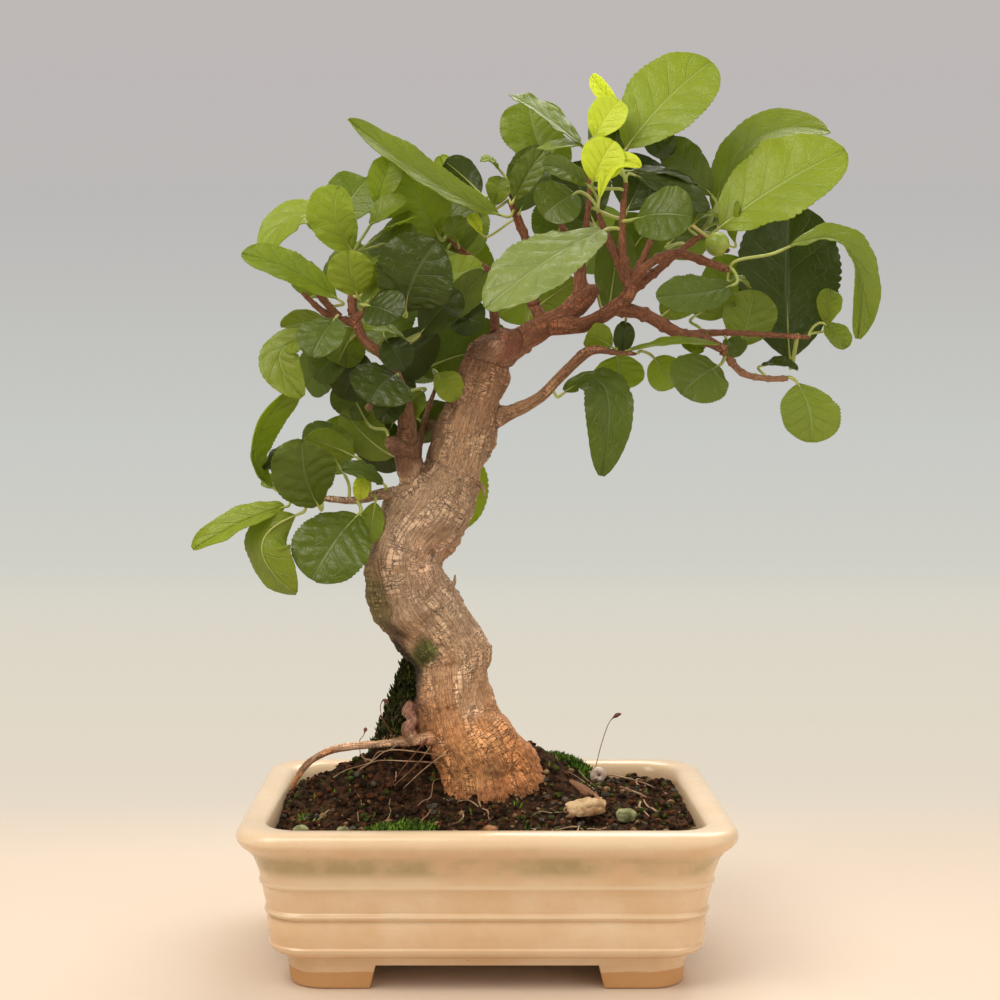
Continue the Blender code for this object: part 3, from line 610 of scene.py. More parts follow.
# ============================================================================ the pot
@dataclass
class Pot:
    """The glazed pot: leaning walls with raised lines, a rolled lip and four corner feet."""

    length: float = 152.0
    depth: float = 116.0
    height: float = 50.0
    corner: float = 17.0
    foot_height: float = 7.5
    foot_reach: float = 29.0
    foot_thickness: float = 13.0
    drain_spacing: float = 64.0
    outline: tuple = (  # inset from the lip's edge, height
        (14.3, 7.5), (14.3, 9.6), (13.4, 10.3), (11.6, 10.5), (10.0, 11.6), (9.3, 12.9), (9.15, 13.4),
        (9.5, 14.0), (8.95, 17.0), (8.7, 20.5), (8.9, 21.6), (9.1, 22.2), (8.2, 22.9), (7.85, 23.6),
        (8.1, 24.3), (8.5, 24.8), (7.6, 29.0), (7.1, 31.6), (6.5, 32.3), (6.35, 33.0), (6.6, 33.7),
        (6.5, 35.0), (5.6, 38.0), (4.8, 40.3), (3.2, 42.5), (1.4, 44.2), (0.35, 45.7), (0.0, 47.0),
        (0.25, 48.4), (1.0, 49.4), (2.2, 50.0), (4.5, 50.25), (7.2, 50.0), (8.4, 49.4), (9.2, 48.2),
        (9.6, 46.5), (10.6, 38.0), (12.2, 20.0), (13.5, 12.5),
    )

    def build(self) -> None:
        """Models the pot and hands it over."""
        body = self.wall()
        for cutter in self.drain_cutters():
            self.combine(body, cutter, "DIFFERENCE")
        self.combine(body, self.feet(), "UNION")
        body.data.materials.append(GlazeFinish().material())
        settle(body, 32.0)
        hand_over(body, ("pot",))

    def rectangle(self, name: str, inset: float, height: float) -> Piece:
        """A flat rounded rectangle, in edit mode and all selected, to extrude from."""
        deselect()
        bpy.ops.mesh.primitive_plane_add(size=1, location=PLAN.at(0, 0, height))
        piece = bpy.context.object
        piece.name = name
        piece.scale = ((self.length - 2 * inset) * MM, (self.depth - 2 * inset) * MM, 1)
        apply_scale()
        edit_all()
        bpy.ops.mesh.bevel(offset=(self.corner - 0.4 * inset) * MM, segments=12, affect="VERTICES")
        bpy.ops.mesh.select_all(action="SELECT")
        return piece

    def wall(self) -> Piece:
        """The wall and floor, extruded ring by ring up the outside, over the lip and down the inside."""
        inset, height = self.outline[0]
        piece = self.rectangle("pot_glazed", inset, height)
        middle = PLAN.at(0, 0, 0)
        for next_inset, next_height in self.outline[1:]:
            extrude((0, 0, (next_height - height) * MM))
            size = (
                (self.length - 2 * next_inset) / (self.length - 2 * inset),
                (self.depth - 2 * next_inset) / (self.depth - 2 * inset),
                1,
            )
            bpy.ops.transform.resize(value=size, center_override=middle)
            inset, height = next_inset, next_height
        bpy.ops.object.mode_set(mode="OBJECT")
        return settle(piece)

    def feet(self) -> Piece:
        """A foot ring under the wall, parted by tapered gaps into four corner feet."""
        piece = self.rectangle("feet", 15.4, 0.0)
        extrude((0, 0, (self.foot_height + 1.5) * MM))
        bpy.ops.transform.resize(value=(1.016, 1.022, 1), center_override=PLAN.at(0, 0, 0))
        bpy.ops.object.mode_set(mode="OBJECT")
        settle(piece)
        half_x = self.length / 2 - 14.3
        half_y = self.depth / 2 - 14.3
        inner = self.block(half_x - self.foot_thickness, half_y - self.foot_thickness, 0.0)
        gap_along = self.block(half_x - self.foot_reach, 90, 3.5)
        gap_across = self.block(90, half_y - self.foot_reach, 3.5)
        for cutter in (inner, gap_along, gap_across):
            self.combine(piece, cutter, "DIFFERENCE")
        edge = piece.modifiers.new("worn_edges", "BEVEL")
        edge.width = 0.7 * MM
        edge.segments = 3
        edge.limit_method = "ANGLE"
        apply_modifiers(piece)
        return piece

    def block(self, half_x: float, half_y: float, flare: float) -> Piece:
        """A cutter under the pot, wider at the ground by flare on each side."""
        deselect()
        bpy.ops.mesh.primitive_cube_add(size=2, location=PLAN.at(0, 0, self.foot_height - 10))
        cutter = bpy.context.object
        cutter.scale = (half_x * MM, half_y * MM, 14 * MM)
        apply_scale()
        for vertex in cutter.data.vertices:
            if vertex.co.z < 0:
                vertex.co.x += math.copysign(2.0 * flare * MM, vertex.co.x)
                vertex.co.y += math.copysign(2.0 * flare * MM, vertex.co.y)
        return settle(cutter)

    def drain_cutters(self) -> list[Piece]:
        """Two round cutters through the floor."""
        cutters = []
        for side in (-1, 1):
            deselect()
            middle = PLAN.at(side * self.drain_spacing / 2, 0, 10)
            bpy.ops.mesh.primitive_cylinder_add(vertices=48, radius=6 * MM, depth=16 * MM, location=middle)
            cutters.append(settle(bpy.context.object))
        return cutters

    def combine(self, piece: Piece, other: Piece, operation: str) -> None:
        """Joins or cuts a piece with another, which is then gone."""
        modifier = piece.modifiers.new("shape", "BOOLEAN")
        modifier.operation = operation
        modifier.object = other
        apply_modifiers(piece)
        bpy.data.objects.remove(other)


# ============================================================================ the soil and what lies on it
@dataclass
class Soil:
    """Dark moist soil in a mound, with crumbs, root threads and plant litter on it."""

    level: float = 45.0
    half_x: float = 65.9
    half_y: float = 47.9
    corner: float = 12.6
    depth: float = 8.0
    mounds: tuple = (  # x, y, rise, spread along x and along y
        (6.0, 10.0, 15.0, 30.0, 24.0), (-42.0, 8.0, 12.0, 20.0, 16.0), (-24.0, 6.0, 11.0, 14.0, 13.0),
        (18.0, 6.0, 6.0, 9.0, 9.0),
    )
    crumbs: int = 5200
    crumb_tones: tuple = (0, 0, 0, 0, 0, 0, 1, 1, 1, 1, 4, 4, 2, 3)  # how often each finish is drawn
    crumb_seed: int = 11
    threads: int = 46
    thread_seed: int = 5

    def height(self, x: float, y: float) -> float:
        """The soil's height in millimetres at a place, bumps left out."""
        height = self.level
        for middle_x, middle_y, rise, spread_x, spread_y in self.mounds:
            height += rise * math.exp(-(((x - middle_x) / spread_x) ** 2) - ((y - middle_y) / spread_y) ** 2)
        return height

    def rough_height(self, x: float, y: float) -> float:
        """The soil's height with its clods."""
        clods = noise.fractal(Vector((x, y, 0.0)) * 0.16, 0.8, 2.0, 5) * 1.6
        return self.height(x, y) + clods + noise.noise(Vector((x, y, 3.0)) * 0.9) * 0.7

    def inside(self, x: float, y: float, margin: float = 0.0) -> tuple[float, float]:
        """The place itself, or the nearest one within the pot's rounded corners and margin off the wall."""
        reach_x, reach_y = self.half_x - margin - self.corner, self.half_y - margin - self.corner
        core = Vector((max(-reach_x, min(reach_x, x)), max(-reach_y, min(reach_y, y))))
        over = Vector((x, y)) - core
        if over.length > self.corner:
            over *= self.corner / over.length
        return tuple(core + over)

    def build(self) -> None:
        """Models the soil and its litter and hands them over."""
        self.ground()
        self.crumble()
        self.root_threads()

    def ground(self) -> None:
        """The soil's body: a fine grid raised to its surface and closed below."""
        piece = sheet(150, 110, 2, PLAN.at(0, 0, 0))
        piece.name = "soil_mound"
        for vertex in piece.data.vertices:
            share = max(abs(vertex.co.x), abs(vertex.co.y), 0.001)
            rim = self.inside(vertex.co.x / share * self.half_x, vertex.co.y / share * self.half_y)
            x, y = rim[0] * share, rim[1] * share
            vertex.co = Vector((x, y, self.rough_height(x, y))) * MM
        edit_all()
        extrude((0, 0, -self.depth * MM))
        bpy.ops.object.mode_set(mode="OBJECT")
        finish = MottledFinish("dark_soil", (0.012, 0.007, 0.004), (0.085, 0.040, 0.019), 0.95, 420.0, 0.0009)
        piece.data.materials.append(finish.material())
        settle(piece, 60.0)
        hand_over(piece, ("soil",))

    def crumble(self) -> None:
        """Crumbs of soil, bark and grit strewn over the mound, copied from a few lumps."""
        chance = Random(self.crumb_seed)
        lumps = [self.lump(chance) for _ in range(5)]
        heap = Heap()
        for _ in range(self.crumbs):
            x, y = self.inside(chance.uniform(-1, 1) * self.half_x, chance.uniform(-1, 1) * self.half_y, 1.5)
            size = 0.35 + 1.15 * chance.random() ** 3.2
            turn = chance.uniform(0, math.tau)
            tone = chance.choice(self.crumb_tones)
            corners, sides = chance.choice(lumps)
            base = Vector((x, y, self.rough_height(x, y) + 0.25 * size))
            points = []
            for corner in corners:
                across = corner.x * math.cos(turn) - corner.y * math.sin(turn)
                back = corner.x * math.sin(turn) + corner.y * math.cos(turn)
                points.append(PLAN.centre + (base + size * Vector((across, back, 0.8 * corner.z))) * MM)
            heap.add(points, sides, tone)
        finishes = (
            MottledFinish("crumb_dark", (0.010, 0.006, 0.004), (0.050, 0.023, 0.011), 0.95, 700.0, 0.0006),
            MottledFinish("crumb_red", (0.06, 0.020, 0.009), (0.17, 0.065, 0.028), 0.95, 700.0, 0.0006),
            MottledFinish("crumb_tan", (0.17, 0.10, 0.04), (0.36, 0.24, 0.12), 0.9, 700.0, 0.0004),
            MottledFinish("crumb_grey", (0.05, 0.042, 0.033), (0.13, 0.11, 0.085), 0.9, 700.0, 0.0004),
            MottledFinish("crumb_green", (0.03, 0.04, 0.010), (0.09, 0.11, 0.02), 0.95, 700.0, 0.0006),
        )
        piece = heap.piece("soil_crumbs", [finish.material() for finish in finishes])
        settle(piece, 60.0)
        hand_over(piece)

    def lump(self, chance: Random) -> tuple[list[Vector], Faces]:
        """One lump of unit size, knocked out of round."""
        rough = ball(1)
        shift = Vector((chance.uniform(0, 9), chance.uniform(0, 9), chance.uniform(0, 9)))
        places = [vertex.co.copy() for vertex in rough.data.vertices]
        corners = [place * (1 + 0.55 * noise.noise(place * 1.3 + shift)) for place in places]
        sides = [tuple(polygon.vertices) for polygon in rough.data.polygons]
        bpy.data.objects.remove(rough)
        return corners, sides

    def root_threads(self) -> None:
        """Fine roots: a few placed under the arching root, the rest strewn."""
        chance = Random(self.thread_seed)
        routes = [
            ((-14, 62, -8), (-22, 63.5, -12), (-32, 64, -14), (-38, 60, -16), (-46, 57.5, -20), (-50, 55, -22)),
            ((-16, 60, -10), (-26, 60.5, -15), (-36, 60.5, -17), (-42, 57, -19)),
            ((-12, 64, -10), (-20, 58, -14), (-27, 51.5, -18)),
            ((-17, 67, -4), (-22, 60, -12), (-30, 52.5, -20)),
            ((-28, 66, 6), (-29, 60, 0), (-29.5, 54, -8)),
            ((44, 52, 4), (50, 50, 6), (55, 47.5, 8), (60, 46.5, 6)),
            ((34, 57, 14), (46, 55, 20), (55, 52, 22), (60, 48, 20)),
        ]
        pieces = [[PLAN.place(spot) for spot in route] for route in routes]
        for _ in range(self.threads):
            x = chance.uniform(-1, 1) * (self.half_x - 8)
            y = chance.uniform(-1, 1) * (self.half_y - 6)
            turn = chance.uniform(0, math.tau)
            route = []
            for _ in range(5):
                x, y = self.inside(x, y, 2.0)
                route.append(PLAN.at(x, y, self.rough_height(x, y) + chance.uniform(0.1, 1.3)))
                x += 3.2 * math.cos(turn)
                y += 3.2 * math.sin(turn)
                turn += chance.uniform(-0.7, 0.7)
            pieces.append(route)
        heap = Heap()
        for route in pieces:
            path = smooth_path(route, 1.6 * MM)
            width = chance.uniform(0.16, 0.42)
            radii = [width * MM * (1 - 0.6 * share) for share in share_of_path(path)]
            heap.add(*tube(path, radii, 5)[:2])
        finish = MottledFinish("root_thread", (0.20, 0.10, 0.05), (0.50, 0.34, 0.20), 0.7, 120.0)
        piece = heap.piece("root_threads", [finish.material()])
        settle(piece, 60.0)
        hand_over(piece)


@dataclass
class Moss:
    """Short moss: pads on the soil and a coat on the shaded root, made of many small pointed shoots."""

    soil: Soil
    pads: tuple = (  # node, x, y, half sizes, height, shoots
        ("moss_cushion_right", 28.0, 25.0, 10.0, 9.0, 6.5, 1500),
        ("moss_mat_left", -26.0, -33.0, 11.0, 6.0, 1.2, 420),
        ("moss_mat_back", 16.0, 41.0, 11.0, 3.4, 2.4, 420),
    )
    strewn: int = 620
    coat: int = 1800
    seed: int = 23
    second_share: float = 0.42  # of the shoots have the second finish
    shoot_faces: tuple = ((0, 1, 4, 3), (3, 4, 6), (1, 2, 5, 4), (4, 5, 6), (2, 0, 3, 5), (5, 3, 6), (2, 1, 0))

    def build(self) -> None:
        """Models the moss and hands it over."""
        chance = Random(self.seed)
        greens = [
            MottledFinish("moss_dark", (0.018, 0.035, 0.006), (0.07, 0.12, 0.02), 0.9, 300.0).material(),
            MottledFinish("moss_bright", (0.07, 0.16, 0.015), (0.20, 0.34, 0.04), 0.85, 300.0).material(),
        ]
        for node, x, y, half_x, half_y, height, count in self.pads:
            spots = []
            for _ in range(count):
                turn = chance.uniform(0, math.tau)
                reach = math.sqrt(chance.random())
                px = x + half_x * reach * math.cos(turn)
                py = y + half_y * reach * math.sin(turn)
                lift = height * math.sqrt(max(0.0, 1 - reach**2)) * 0.8
                spots.append(Vector((px, py, self.soil.height(px, py) + lift)))
            body = self.cushion(node, x, y, half_x, half_y, height)
            self.grow(f"{node}_shoots", spots, greens, chance, (node,), body)
        spots = []
        for _ in range(self.strewn):
            x = chance.uniform(-1, 1) * 60
            y = chance.uniform(-1, 1) * 43
            if noise.noise(Vector((x, y, 7.0)) * 0.09) > 0.12:
                spots.append(Vector((x, y, self.soil.rough_height(x, y))))
        self.grow("moss_flecks", spots, greens, chance)
        path, radii = OLD_WOOD[BUTTRESS].line(0.5)
        spots = []
        for _ in range(self.coat):
            along = chance.randrange(8, len(path))
            turn = math.radians(chance.uniform(120, 275))
            out = Vector((math.cos(turn), math.sin(turn), 0)) * (radii[along] + chance.uniform(-0.6, 1.4) * MM)
            spots.append((path[along] + out - PLAN.centre) / MM)
        shaded = [
            MottledFinish("moss_shaded", (0.010, 0.012, 0.004), (0.035, 0.040, 0.010), 0.9, 300.0).material(),
            MottledFinish("moss_olive", (0.03, 0.04, 0.008), (0.09, 0.11, 0.02), 0.9, 300.0).material(),
        ]
        self.grow("moss_coat", spots, shaded, chance)

    def cushion(self, node: str, x: float, y: float, half_x: float, half_y: float, height: float) -> Piece:
        """The dense body of a pad, which the shoots stand on."""
        body = ball(4)
        body.name = node + "_body"
        for vertex in body.data.vertices:
            rough = 1 + 0.10 * noise.noise(vertex.co * 3.1)
            px = x + half_x * vertex.co.x * rough
            py = y + half_y * vertex.co.y * rough
            body_z = self.soil.height(px, py) + vertex.co.z * (0.8 * height if vertex.co.z > 0 else 1.0)
            vertex.co = PLAN.at(px, py, body_z)
        return body

    def grow(
        self, name: str, spots: list, greens: list, chance: Random, nodes: tuple = (), body: Piece | None = None
    ) -> None:
        """Sets a pointed shoot on each spot, over the pad's body if it has one.

        Args:
            name: The piece's name.
            spots: Where the shoots stand, in millimetres.
            greens: Their two finishes, the commoner one first.
            chance: What draws their sizes and finishes.
            nodes: The CAD nodes that the pad stands for.
            body: The pad's body.
        """
        heap = Heap()
        for spot in spots:
            tall = chance.uniform(0.9, 2.3)
            wide = chance.uniform(0.28, 0.5)
            lean = Vector((chance.uniform(-0.6, 0.6), chance.uniform(-0.6, 0.6), 1)) * tall
            points = []
            turn = chance.uniform(0, math.tau)
            for level, girth in ((-0.2, 0.6), (0.45, 1.0)):
                for step in range(3):
                    angle = turn + math.tau * step / 3 + level
                    across = Vector((math.cos(angle), math.sin(angle), 0)) * wide * girth
                    points.append(PLAN.centre + (spot + lean * level + across) * MM)
            points.append(PLAN.centre + (spot + lean) * MM)
            heap.add(points, self.shoot_faces, int(chance.random() < self.second_share))
        piece = heap.piece(name, greens)
        if body:
            body.data.materials.append(greens[0])
            piece = join([piece, body], name)
        settle(piece, 30.0)
        hand_over(piece, nodes)


@dataclass
class Litter:
    """The loose things on the soil: pebbles, an empty snail shell, curled bark and moss capsules."""

    soil: Soil
    pebbles: tuple = (  # x, y, half sizes
        (-57.0, -37.0, 2.4, 2.0, 1.6), (-44.0, -38.0, 2.1, 1.7, 1.5),
        (1.0, -38.0, 2.4, 1.8, 1.6), (44.0, -22.0, 3.2, 2.4, 2.2),
    )
    grey: tuple = ((0.12, 0.14, 0.05), (0.38, 0.37, 0.20))
    red: tuple = ((0.20, 0.08, 0.03), (0.42, 0.22, 0.11))
    red_pebble: int = 3

    def build(self) -> None:
        """Models each loose thing and hands it over."""
        for index, pebble in enumerate(self.pebbles, 1):
            self.pebble(index, *pebble)
        self.snail_shell()
        self.bark_curl()
        self.moss_capsules()

    def pebble(self, index: int, x: float, y: float, half_x: float, half_y: float, half_z: float) -> None:
        """One worn, pitted stone."""
        stone = ball(4)
        stone.name = f"worn_pebble_{index}"
        middle = Vector((x, y, self.soil.height(x, y) + half_z * 0.9 + 0.3))
        for vertex in stone.data.vertices:
            lump = 1 + 0.22 * noise.noise(vertex.co * 1.4 + middle) + 0.06 * noise.noise(vertex.co * 6)
            spread = Vector((vertex.co.x * half_x, vertex.co.y * half_y, vertex.co.z * half_z)) * lump
            vertex.co = PLAN.centre + (middle + spread) * MM
        colours = self.red if index == self.red_pebble else self.grey
        finish = MottledFinish(f"pebble_stone_{index}", *colours, 0.8, 420.0, 0.0003)
        stone.data.materials.append(finish.material())
        settle(stone, 80.0)
        hand_over(stone, (f"pebble_{index}",))

    def snail_shell(self) -> None:
        """A small shell: one tube wound in a rising, widening spiral."""
        path, radii = [], []
        turns, steps = 3.6, 86
        low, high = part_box("snail_shell")
        middle = (low + high) / 2
        for k in range(steps + 1):
            share = k / steps
            angle = math.tau * turns * share
            reach = 1.75 * MM * share**1.25
            rise = (1.6 - 2.6 * share) * MM
            path.append(middle + Vector((reach * math.cos(angle), rise, reach * math.sin(angle))))
            radii.append((0.18 + 1.12 * share**1.1) * MM)
        finish = MottledFinish("snail_shell_skin", (0.30, 0.20, 0.15), (0.62, 0.50, 0.42), 0.3, 300.0, 0.00005)
        piece = rod("snail_shell_whorl", path, radii, 14, finish.material())
        settle(piece, 60.0)
        hand_over(piece, ("snail_shell",))

    def bark_curl(self) -> None:
        """A shed strip of bark, curled along its length."""
        low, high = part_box("bark_curl")
        middle = (low + high) / 2
        piece = sheet(40, 28, 1)
        piece.name = "curled_bark"
        for vertex in piece.data.vertices:
            along = vertex.co.x * 12.5
            angle = math.radians(90 + 200 * vertex.co.y)
            dent = 0.5 * noise.noise(Vector((along, vertex.co.y * 9, 0)) * 0.6)
            radius = 3.4 * (1 - 0.5 * abs(vertex.co.x)) + dent
            ragged = noise.noise(Vector((vertex.co.y * 8, vertex.co.x, 2))) * 1.6
            back = along * 0.43 + radius * math.cos(angle)
            vertex.co = middle + MM * Vector(((along + ragged) * 0.9, back, radius * math.sin(angle) - 1.2))
        skin = piece.modifiers.new("thickness", "SOLIDIFY")
        skin.thickness = 0.7 * MM
        apply_modifiers(piece)
        finish = MottledFinish("shed_bark", (0.30, 0.16, 0.07), (0.66, 0.48, 0.28), 0.85, 180.0, 0.0005)
        piece.data.materials.append(finish.material())
        settle(piece, 50.0)
        hand_over(piece, ("bark_curl",))

    def moss_capsules(self) -> None:
        """Spore capsules of the moss, each on a hair-thin stalk."""
        stalks = (
            ((-41, 62, 4), (-41.3, 67, 4), (-40, 69, 4), (-39.2, 71.5, 4)),
            ((36, 58, 16), (38, 66, 17), (40.5, 73, 18), (43, 75.5, 18), (44.5, 76, 18)),
            ((-31, 52, -17), (-28, 57, -17), (-24, 62, -16), (-19, 68, -15)),
            ((-30, 68, 0), (-33.5, 74, 0), (-34.5, 78, 0), (-33.5, 80.5, 0), (-31.8, 79.5, 0)),
        )
        heap = Heap()
        for stalk in stalks:
            path = smooth_path([PLAN.place(spot) for spot in stalk], 0.7 * MM)
            radii = []
            for share in share_of_path(path):
                swell = math.exp(-(((share - 0.93) / 0.06) ** 2))
                radii.append((0.13 + 0.62 * swell) * MM)
            heap.add(*tube(path, radii, 7)[:2])
        finish = MottledFinish("capsule_red", (0.12, 0.03, 0.015), (0.28, 0.09, 0.03), 0.5, 200.0)
        piece = heap.piece("moss_capsules", [finish.material()])
        settle(piece, 60.0)
        hand_over(piece)


@dataclass
class DrainScreens:
    """The screens over the drain holes, kept as the frame has them and given their plastic."""

    def build(self) -> None:
        """Dresses both screens."""
        finish = MottledFinish("screen_plastic", (0.010, 0.022, 0.012), (0.02, 0.04, 0.022), 0.5, 300.0)
        plastic = finish.material()
        for name in ("drain_screen_left", "drain_screen_right"):
            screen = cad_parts[name]
            screen.data.materials.clear()
            screen.data.materials.append(plastic)
            LOG.info("%s: dressed", name)


# ============================================================================ the tree's wood
@dataclass(frozen=True)
class Wood:
    """One stretch of wood: its centre line as (x, z, depth) and its radius at each point, in millimetres."""

    points: tuple[Spot, ...]
    radii: tuple[float, ...]

    def line(self, step: float) -> tuple[list[Vector], list[float]]:
        """The smoothed centre line and the radius at each of its points, in metres."""
        knots = [Vector((*PLAN.place(spot), radius * MM)) for spot, radius in zip(self.points, self.radii)]
        line = smooth_path(knots, step * MM)
        return [point.xyz for point in line], [max(point.w, 0.25 * MM) for point in line]


# The trunk, the roots and the limbs: one body of old wood.
OLD_WOOD = (
    Wood(
        (
            (0, 36, 2), (0, 44, 1), (0, 51, 0), (-0.5, 57, 0), (-2.5, 63, 0), (-6, 69, 0), (-8.3, 75, 1),
            (-9.8, 82, 2), (-10.4, 90, 3), (-11, 96, 3), (-14, 101, 2), (-18, 107, 1), (-23, 113, 0),
            (-26, 120, -1), (-27, 128, -1), (-24, 135, 0), (-19, 141, 0), (-15, 147, 0), (-11, 154, 0),
            (-8.5, 162, 0), (-6, 171, 1), (-3, 180, 2), (0, 188, 4), (1, 194, 5), (3, 199, 6),
        ),
        (
            13, 14.5, 15, 15, 14.2, 13, 12.4, 12.6, 12.7, 12.6, 13, 13.5, 13.5, 12.5, 12.5, 13.5, 13.5, 13,
            10, 9.5, 9.5, 9, 8.5, 6.5, 4.5,
        ),
    ),
    Wood(((-2, 65, 0), (6, 60, -1), (11, 54, -2), (13, 47, -2), (14, 38, -2)), (9, 10, 9.3, 8.5, 7)),
    Wood(
        (
            (-6, 69, -6), (-18, 68.2, -6), (-33, 66.2, -3), (-47, 65, 0), (-55, 62, 0), (-60, 57.8, -1),
            (-64, 51, -2),
        ),
        (4, 2.4, 1.7, 1.6, 1.5, 1.3, 1),
    ),
    Wood(
        (
            (-17, 99, 8), (-21, 92, 9), (-23, 84, 10), (-25, 76, 11), (-27, 68, 12), (-29, 59, 13),
            (-31, 48, 14),
        ),
        (5, 5.5, 6.5, 7.5, 8.5, 9, 9),
    ),
    Wood(((12, 58, 4), (20, 54, 5), (28, 51.5, 2), (35, 48, -3), (40, 43, -6)), (6, 4.2, 3, 2.4, 1.6)),
    Wood(
        ((0, 192, 5), (9, 197, 3), (18, 202, 2), (26, 207, 1), (33, 213, 0), (37, 216, 0)),
        (6, 4.6, 4.2, 3.8, 3.4, 1.8),
    ),
    Wood(((31, 211, 0), (31, 222, 2), (31.5, 229, 3), (33, 237, 4)), (3, 2.2, 2.3, 1.1)),
    Wood(
        ((21, 203, 1), (33, 204, -6), (42, 209, -10), (47, 214, -12), (47, 219, -12)),
        (3.4, 2.8, 2.6, 2.6, 2.2),
    ),
    Wood(
        (
            (0, 172, 2), (11, 176, -2), (18, 180, -5), (25, 187, -9), (34, 195, -12), (43, 194.5, -14),
            (50, 194, -15),
        ),
        (4, 2.6, 2.2, 2, 1.9, 1.4, 1),
    ),
    Wood(((2, 194, 8), (3, 205, 13), (1, 215, 17), (-4, 222, 20)), (3, 2.1, 1.8, 1.2)),
    Wood(
        (
            (-20, 148, 0), (-25, 158, -5), (-25.5, 168, -9), (-28, 183, -11), (-33, 193, -12), (-40, 199, -12),
            (-43.5, 208, -12),
        ),
        (5.4, 4.8, 3.7, 2.4, 2, 1.9, 2),
    ),
    Wood(
        ((-21, 149, -1), (-34, 148, -5), (-43, 146, -8), (-52, 146.5, -10), (-64, 146, -13)),
        (3.2, 1.9, 1.6, 1.3, 0.9),
    ),
    Wood(((-24, 163, -8), (-30, 164, -10), (-32, 167, -11)), (4, 3, 1.6)),
    Wood(((-1, 190, 3), (6, 197, 0), (8, 201, -2)), (6.5, 5.5, 3.5)),
)
BUTTRESS = 3

# The twigs, each starting inside the wood that bears it.
TWIGS = (
    Wood(((47, 217, -12), (43, 226, -12), (40, 232, -10), (37, 240, -9)), (2, 1.5, 1.2, 0.8)),
    Wood(((47, 217, -12), (45, 228, -14), (45, 240, -14), (46, 250, -12)), (1.8, 1.2, 1, 0.7)),
    Wood(
        ((47, 216, -12), (53, 223, -14), (62, 227, -16), (73, 224, -17), (80, 221.5, -17)),
        (2, 1.5, 1.4, 1.3, 1),
    ),
    Wood(((48, 215, -11), (57, 222, -7), (64, 228, -3), (71, 233, -2)), (1.8, 1.3, 1.1, 0.9)),
    Wood(
        ((43, 209, -10), (52, 207, -10), (63, 201, -12), (72, 198.5, -14), (79, 195, -15)),
        (2.4, 2.1, 1.9, 1.7, 1.4),
    ),
    Wood(((78, 195, -15), (84, 188, -14), (92, 186, -12), (99, 186, -11)), (1.4, 1.1, 1, 0.9)),
    Wood(((66, 200.5, -12), (78, 201, -9), (90, 200.5, -6), (106, 199.5, -3)), (1.4, 1, 0.9, 0.7)),
    Wood(
        ((19, 202, 3), (16.5, 209, 4), (9, 217, 7), (0, 222, 9), (-9, 229, 10), (-16, 240, 10)),
        (2.4, 1.9, 1.5, 1.3, 1.1, 0.8),
    ),
    Wood(((16, 210, 4), (14, 222, 2), (13, 232, 0), (10, 241, -1), (7, 251, -2)), (1.6, 1.4, 1.3, 1, 0.7)),
    Wood(((-43, 204, -12), (-52, 207, -12), (-60, 214, -11)), (1.4, 1.1, 0.7)),
    Wood(((-43.5, 207, -12), (-44, 216, -10), (-44, 224, -9)), (1.6, 1.2, 0.9)),
    Wood(((-10, 166, 4), (-17, 170, 14), (-24, 178, 26), (-30, 190, 34)), (2.8, 2, 1.5, 0.9)),
    Wood(((2, 190, 10), (12, 196, 24), (22, 206, 36), (30, 218, 44)), (3.4, 2.3, 1.8, 1)),
    Wood(((-43, 205, -13), (-38, 210, -12), (-32, 216, -12), (-27, 221, -11)), (1.2, 0.8, 0.7, 0.5)),
    Wood(((-20, 152, 3), (-22, 160, 8), (-20, 172, 10), (-16, 184, 8)), (1.8, 1.2, 1, 0.6)),
    Wood(((31, 228, 3), (25, 236, 5), (22, 246, 9), (20, 256, 13)), (1.5, 1, 0.8, 0.6)),
    Wood(((33, 236, 4), (34, 246, 3), (34, 256, 2)), (1, 0.8, 0.6)),
    Wood(((-14, 115, -4), (-10.5, 118.5, -5), (-10, 121.5, -6)), (1.3, 0.7, 0.25)),
    Wood(
        ((-22.5, 67, -6), (-25.5, 70.5, -7), (-24, 74, -7), (-25.5, 77, -6), (-24.5, 80, -6)),
        (1.8, 2.2, 1.5, 1.9, 0.8),
    ),
    Wood(((-4, 153, -2), (-0.8, 150, -3), (-0.2, 147, -4)), (1.2, 0.7, 0.25)),
    Wood(((-39, 176, -14), (-34, 181, -12), (-29, 188, -11)), (0.9, 1.2, 1.4)),
    Wood(((-60, 222, -14), (-55, 214, -13), (-48, 206, -12)), (0.6, 1, 1.3)),
    Wood(((8, 244, -2), (12, 234, 0), (20, 222, 1)), (0.8, 1.1, 1.6)),
    Wood(((56, 236, -14), (52, 226, -13), (48, 218, -12)), (0.7, 1.1, 1.6)),
)


@dataclass(frozen=True)
class Patch:
    """A patch of colour on the bark: most are stains, two are painted shade and one is partly painted light. It
    gives where it is on the elevation, its half sizes, its colour and how dense it is.
    """

    x: float
    z: float
    half_x: float
    half_z: float
    colour: Spot
    strength: float


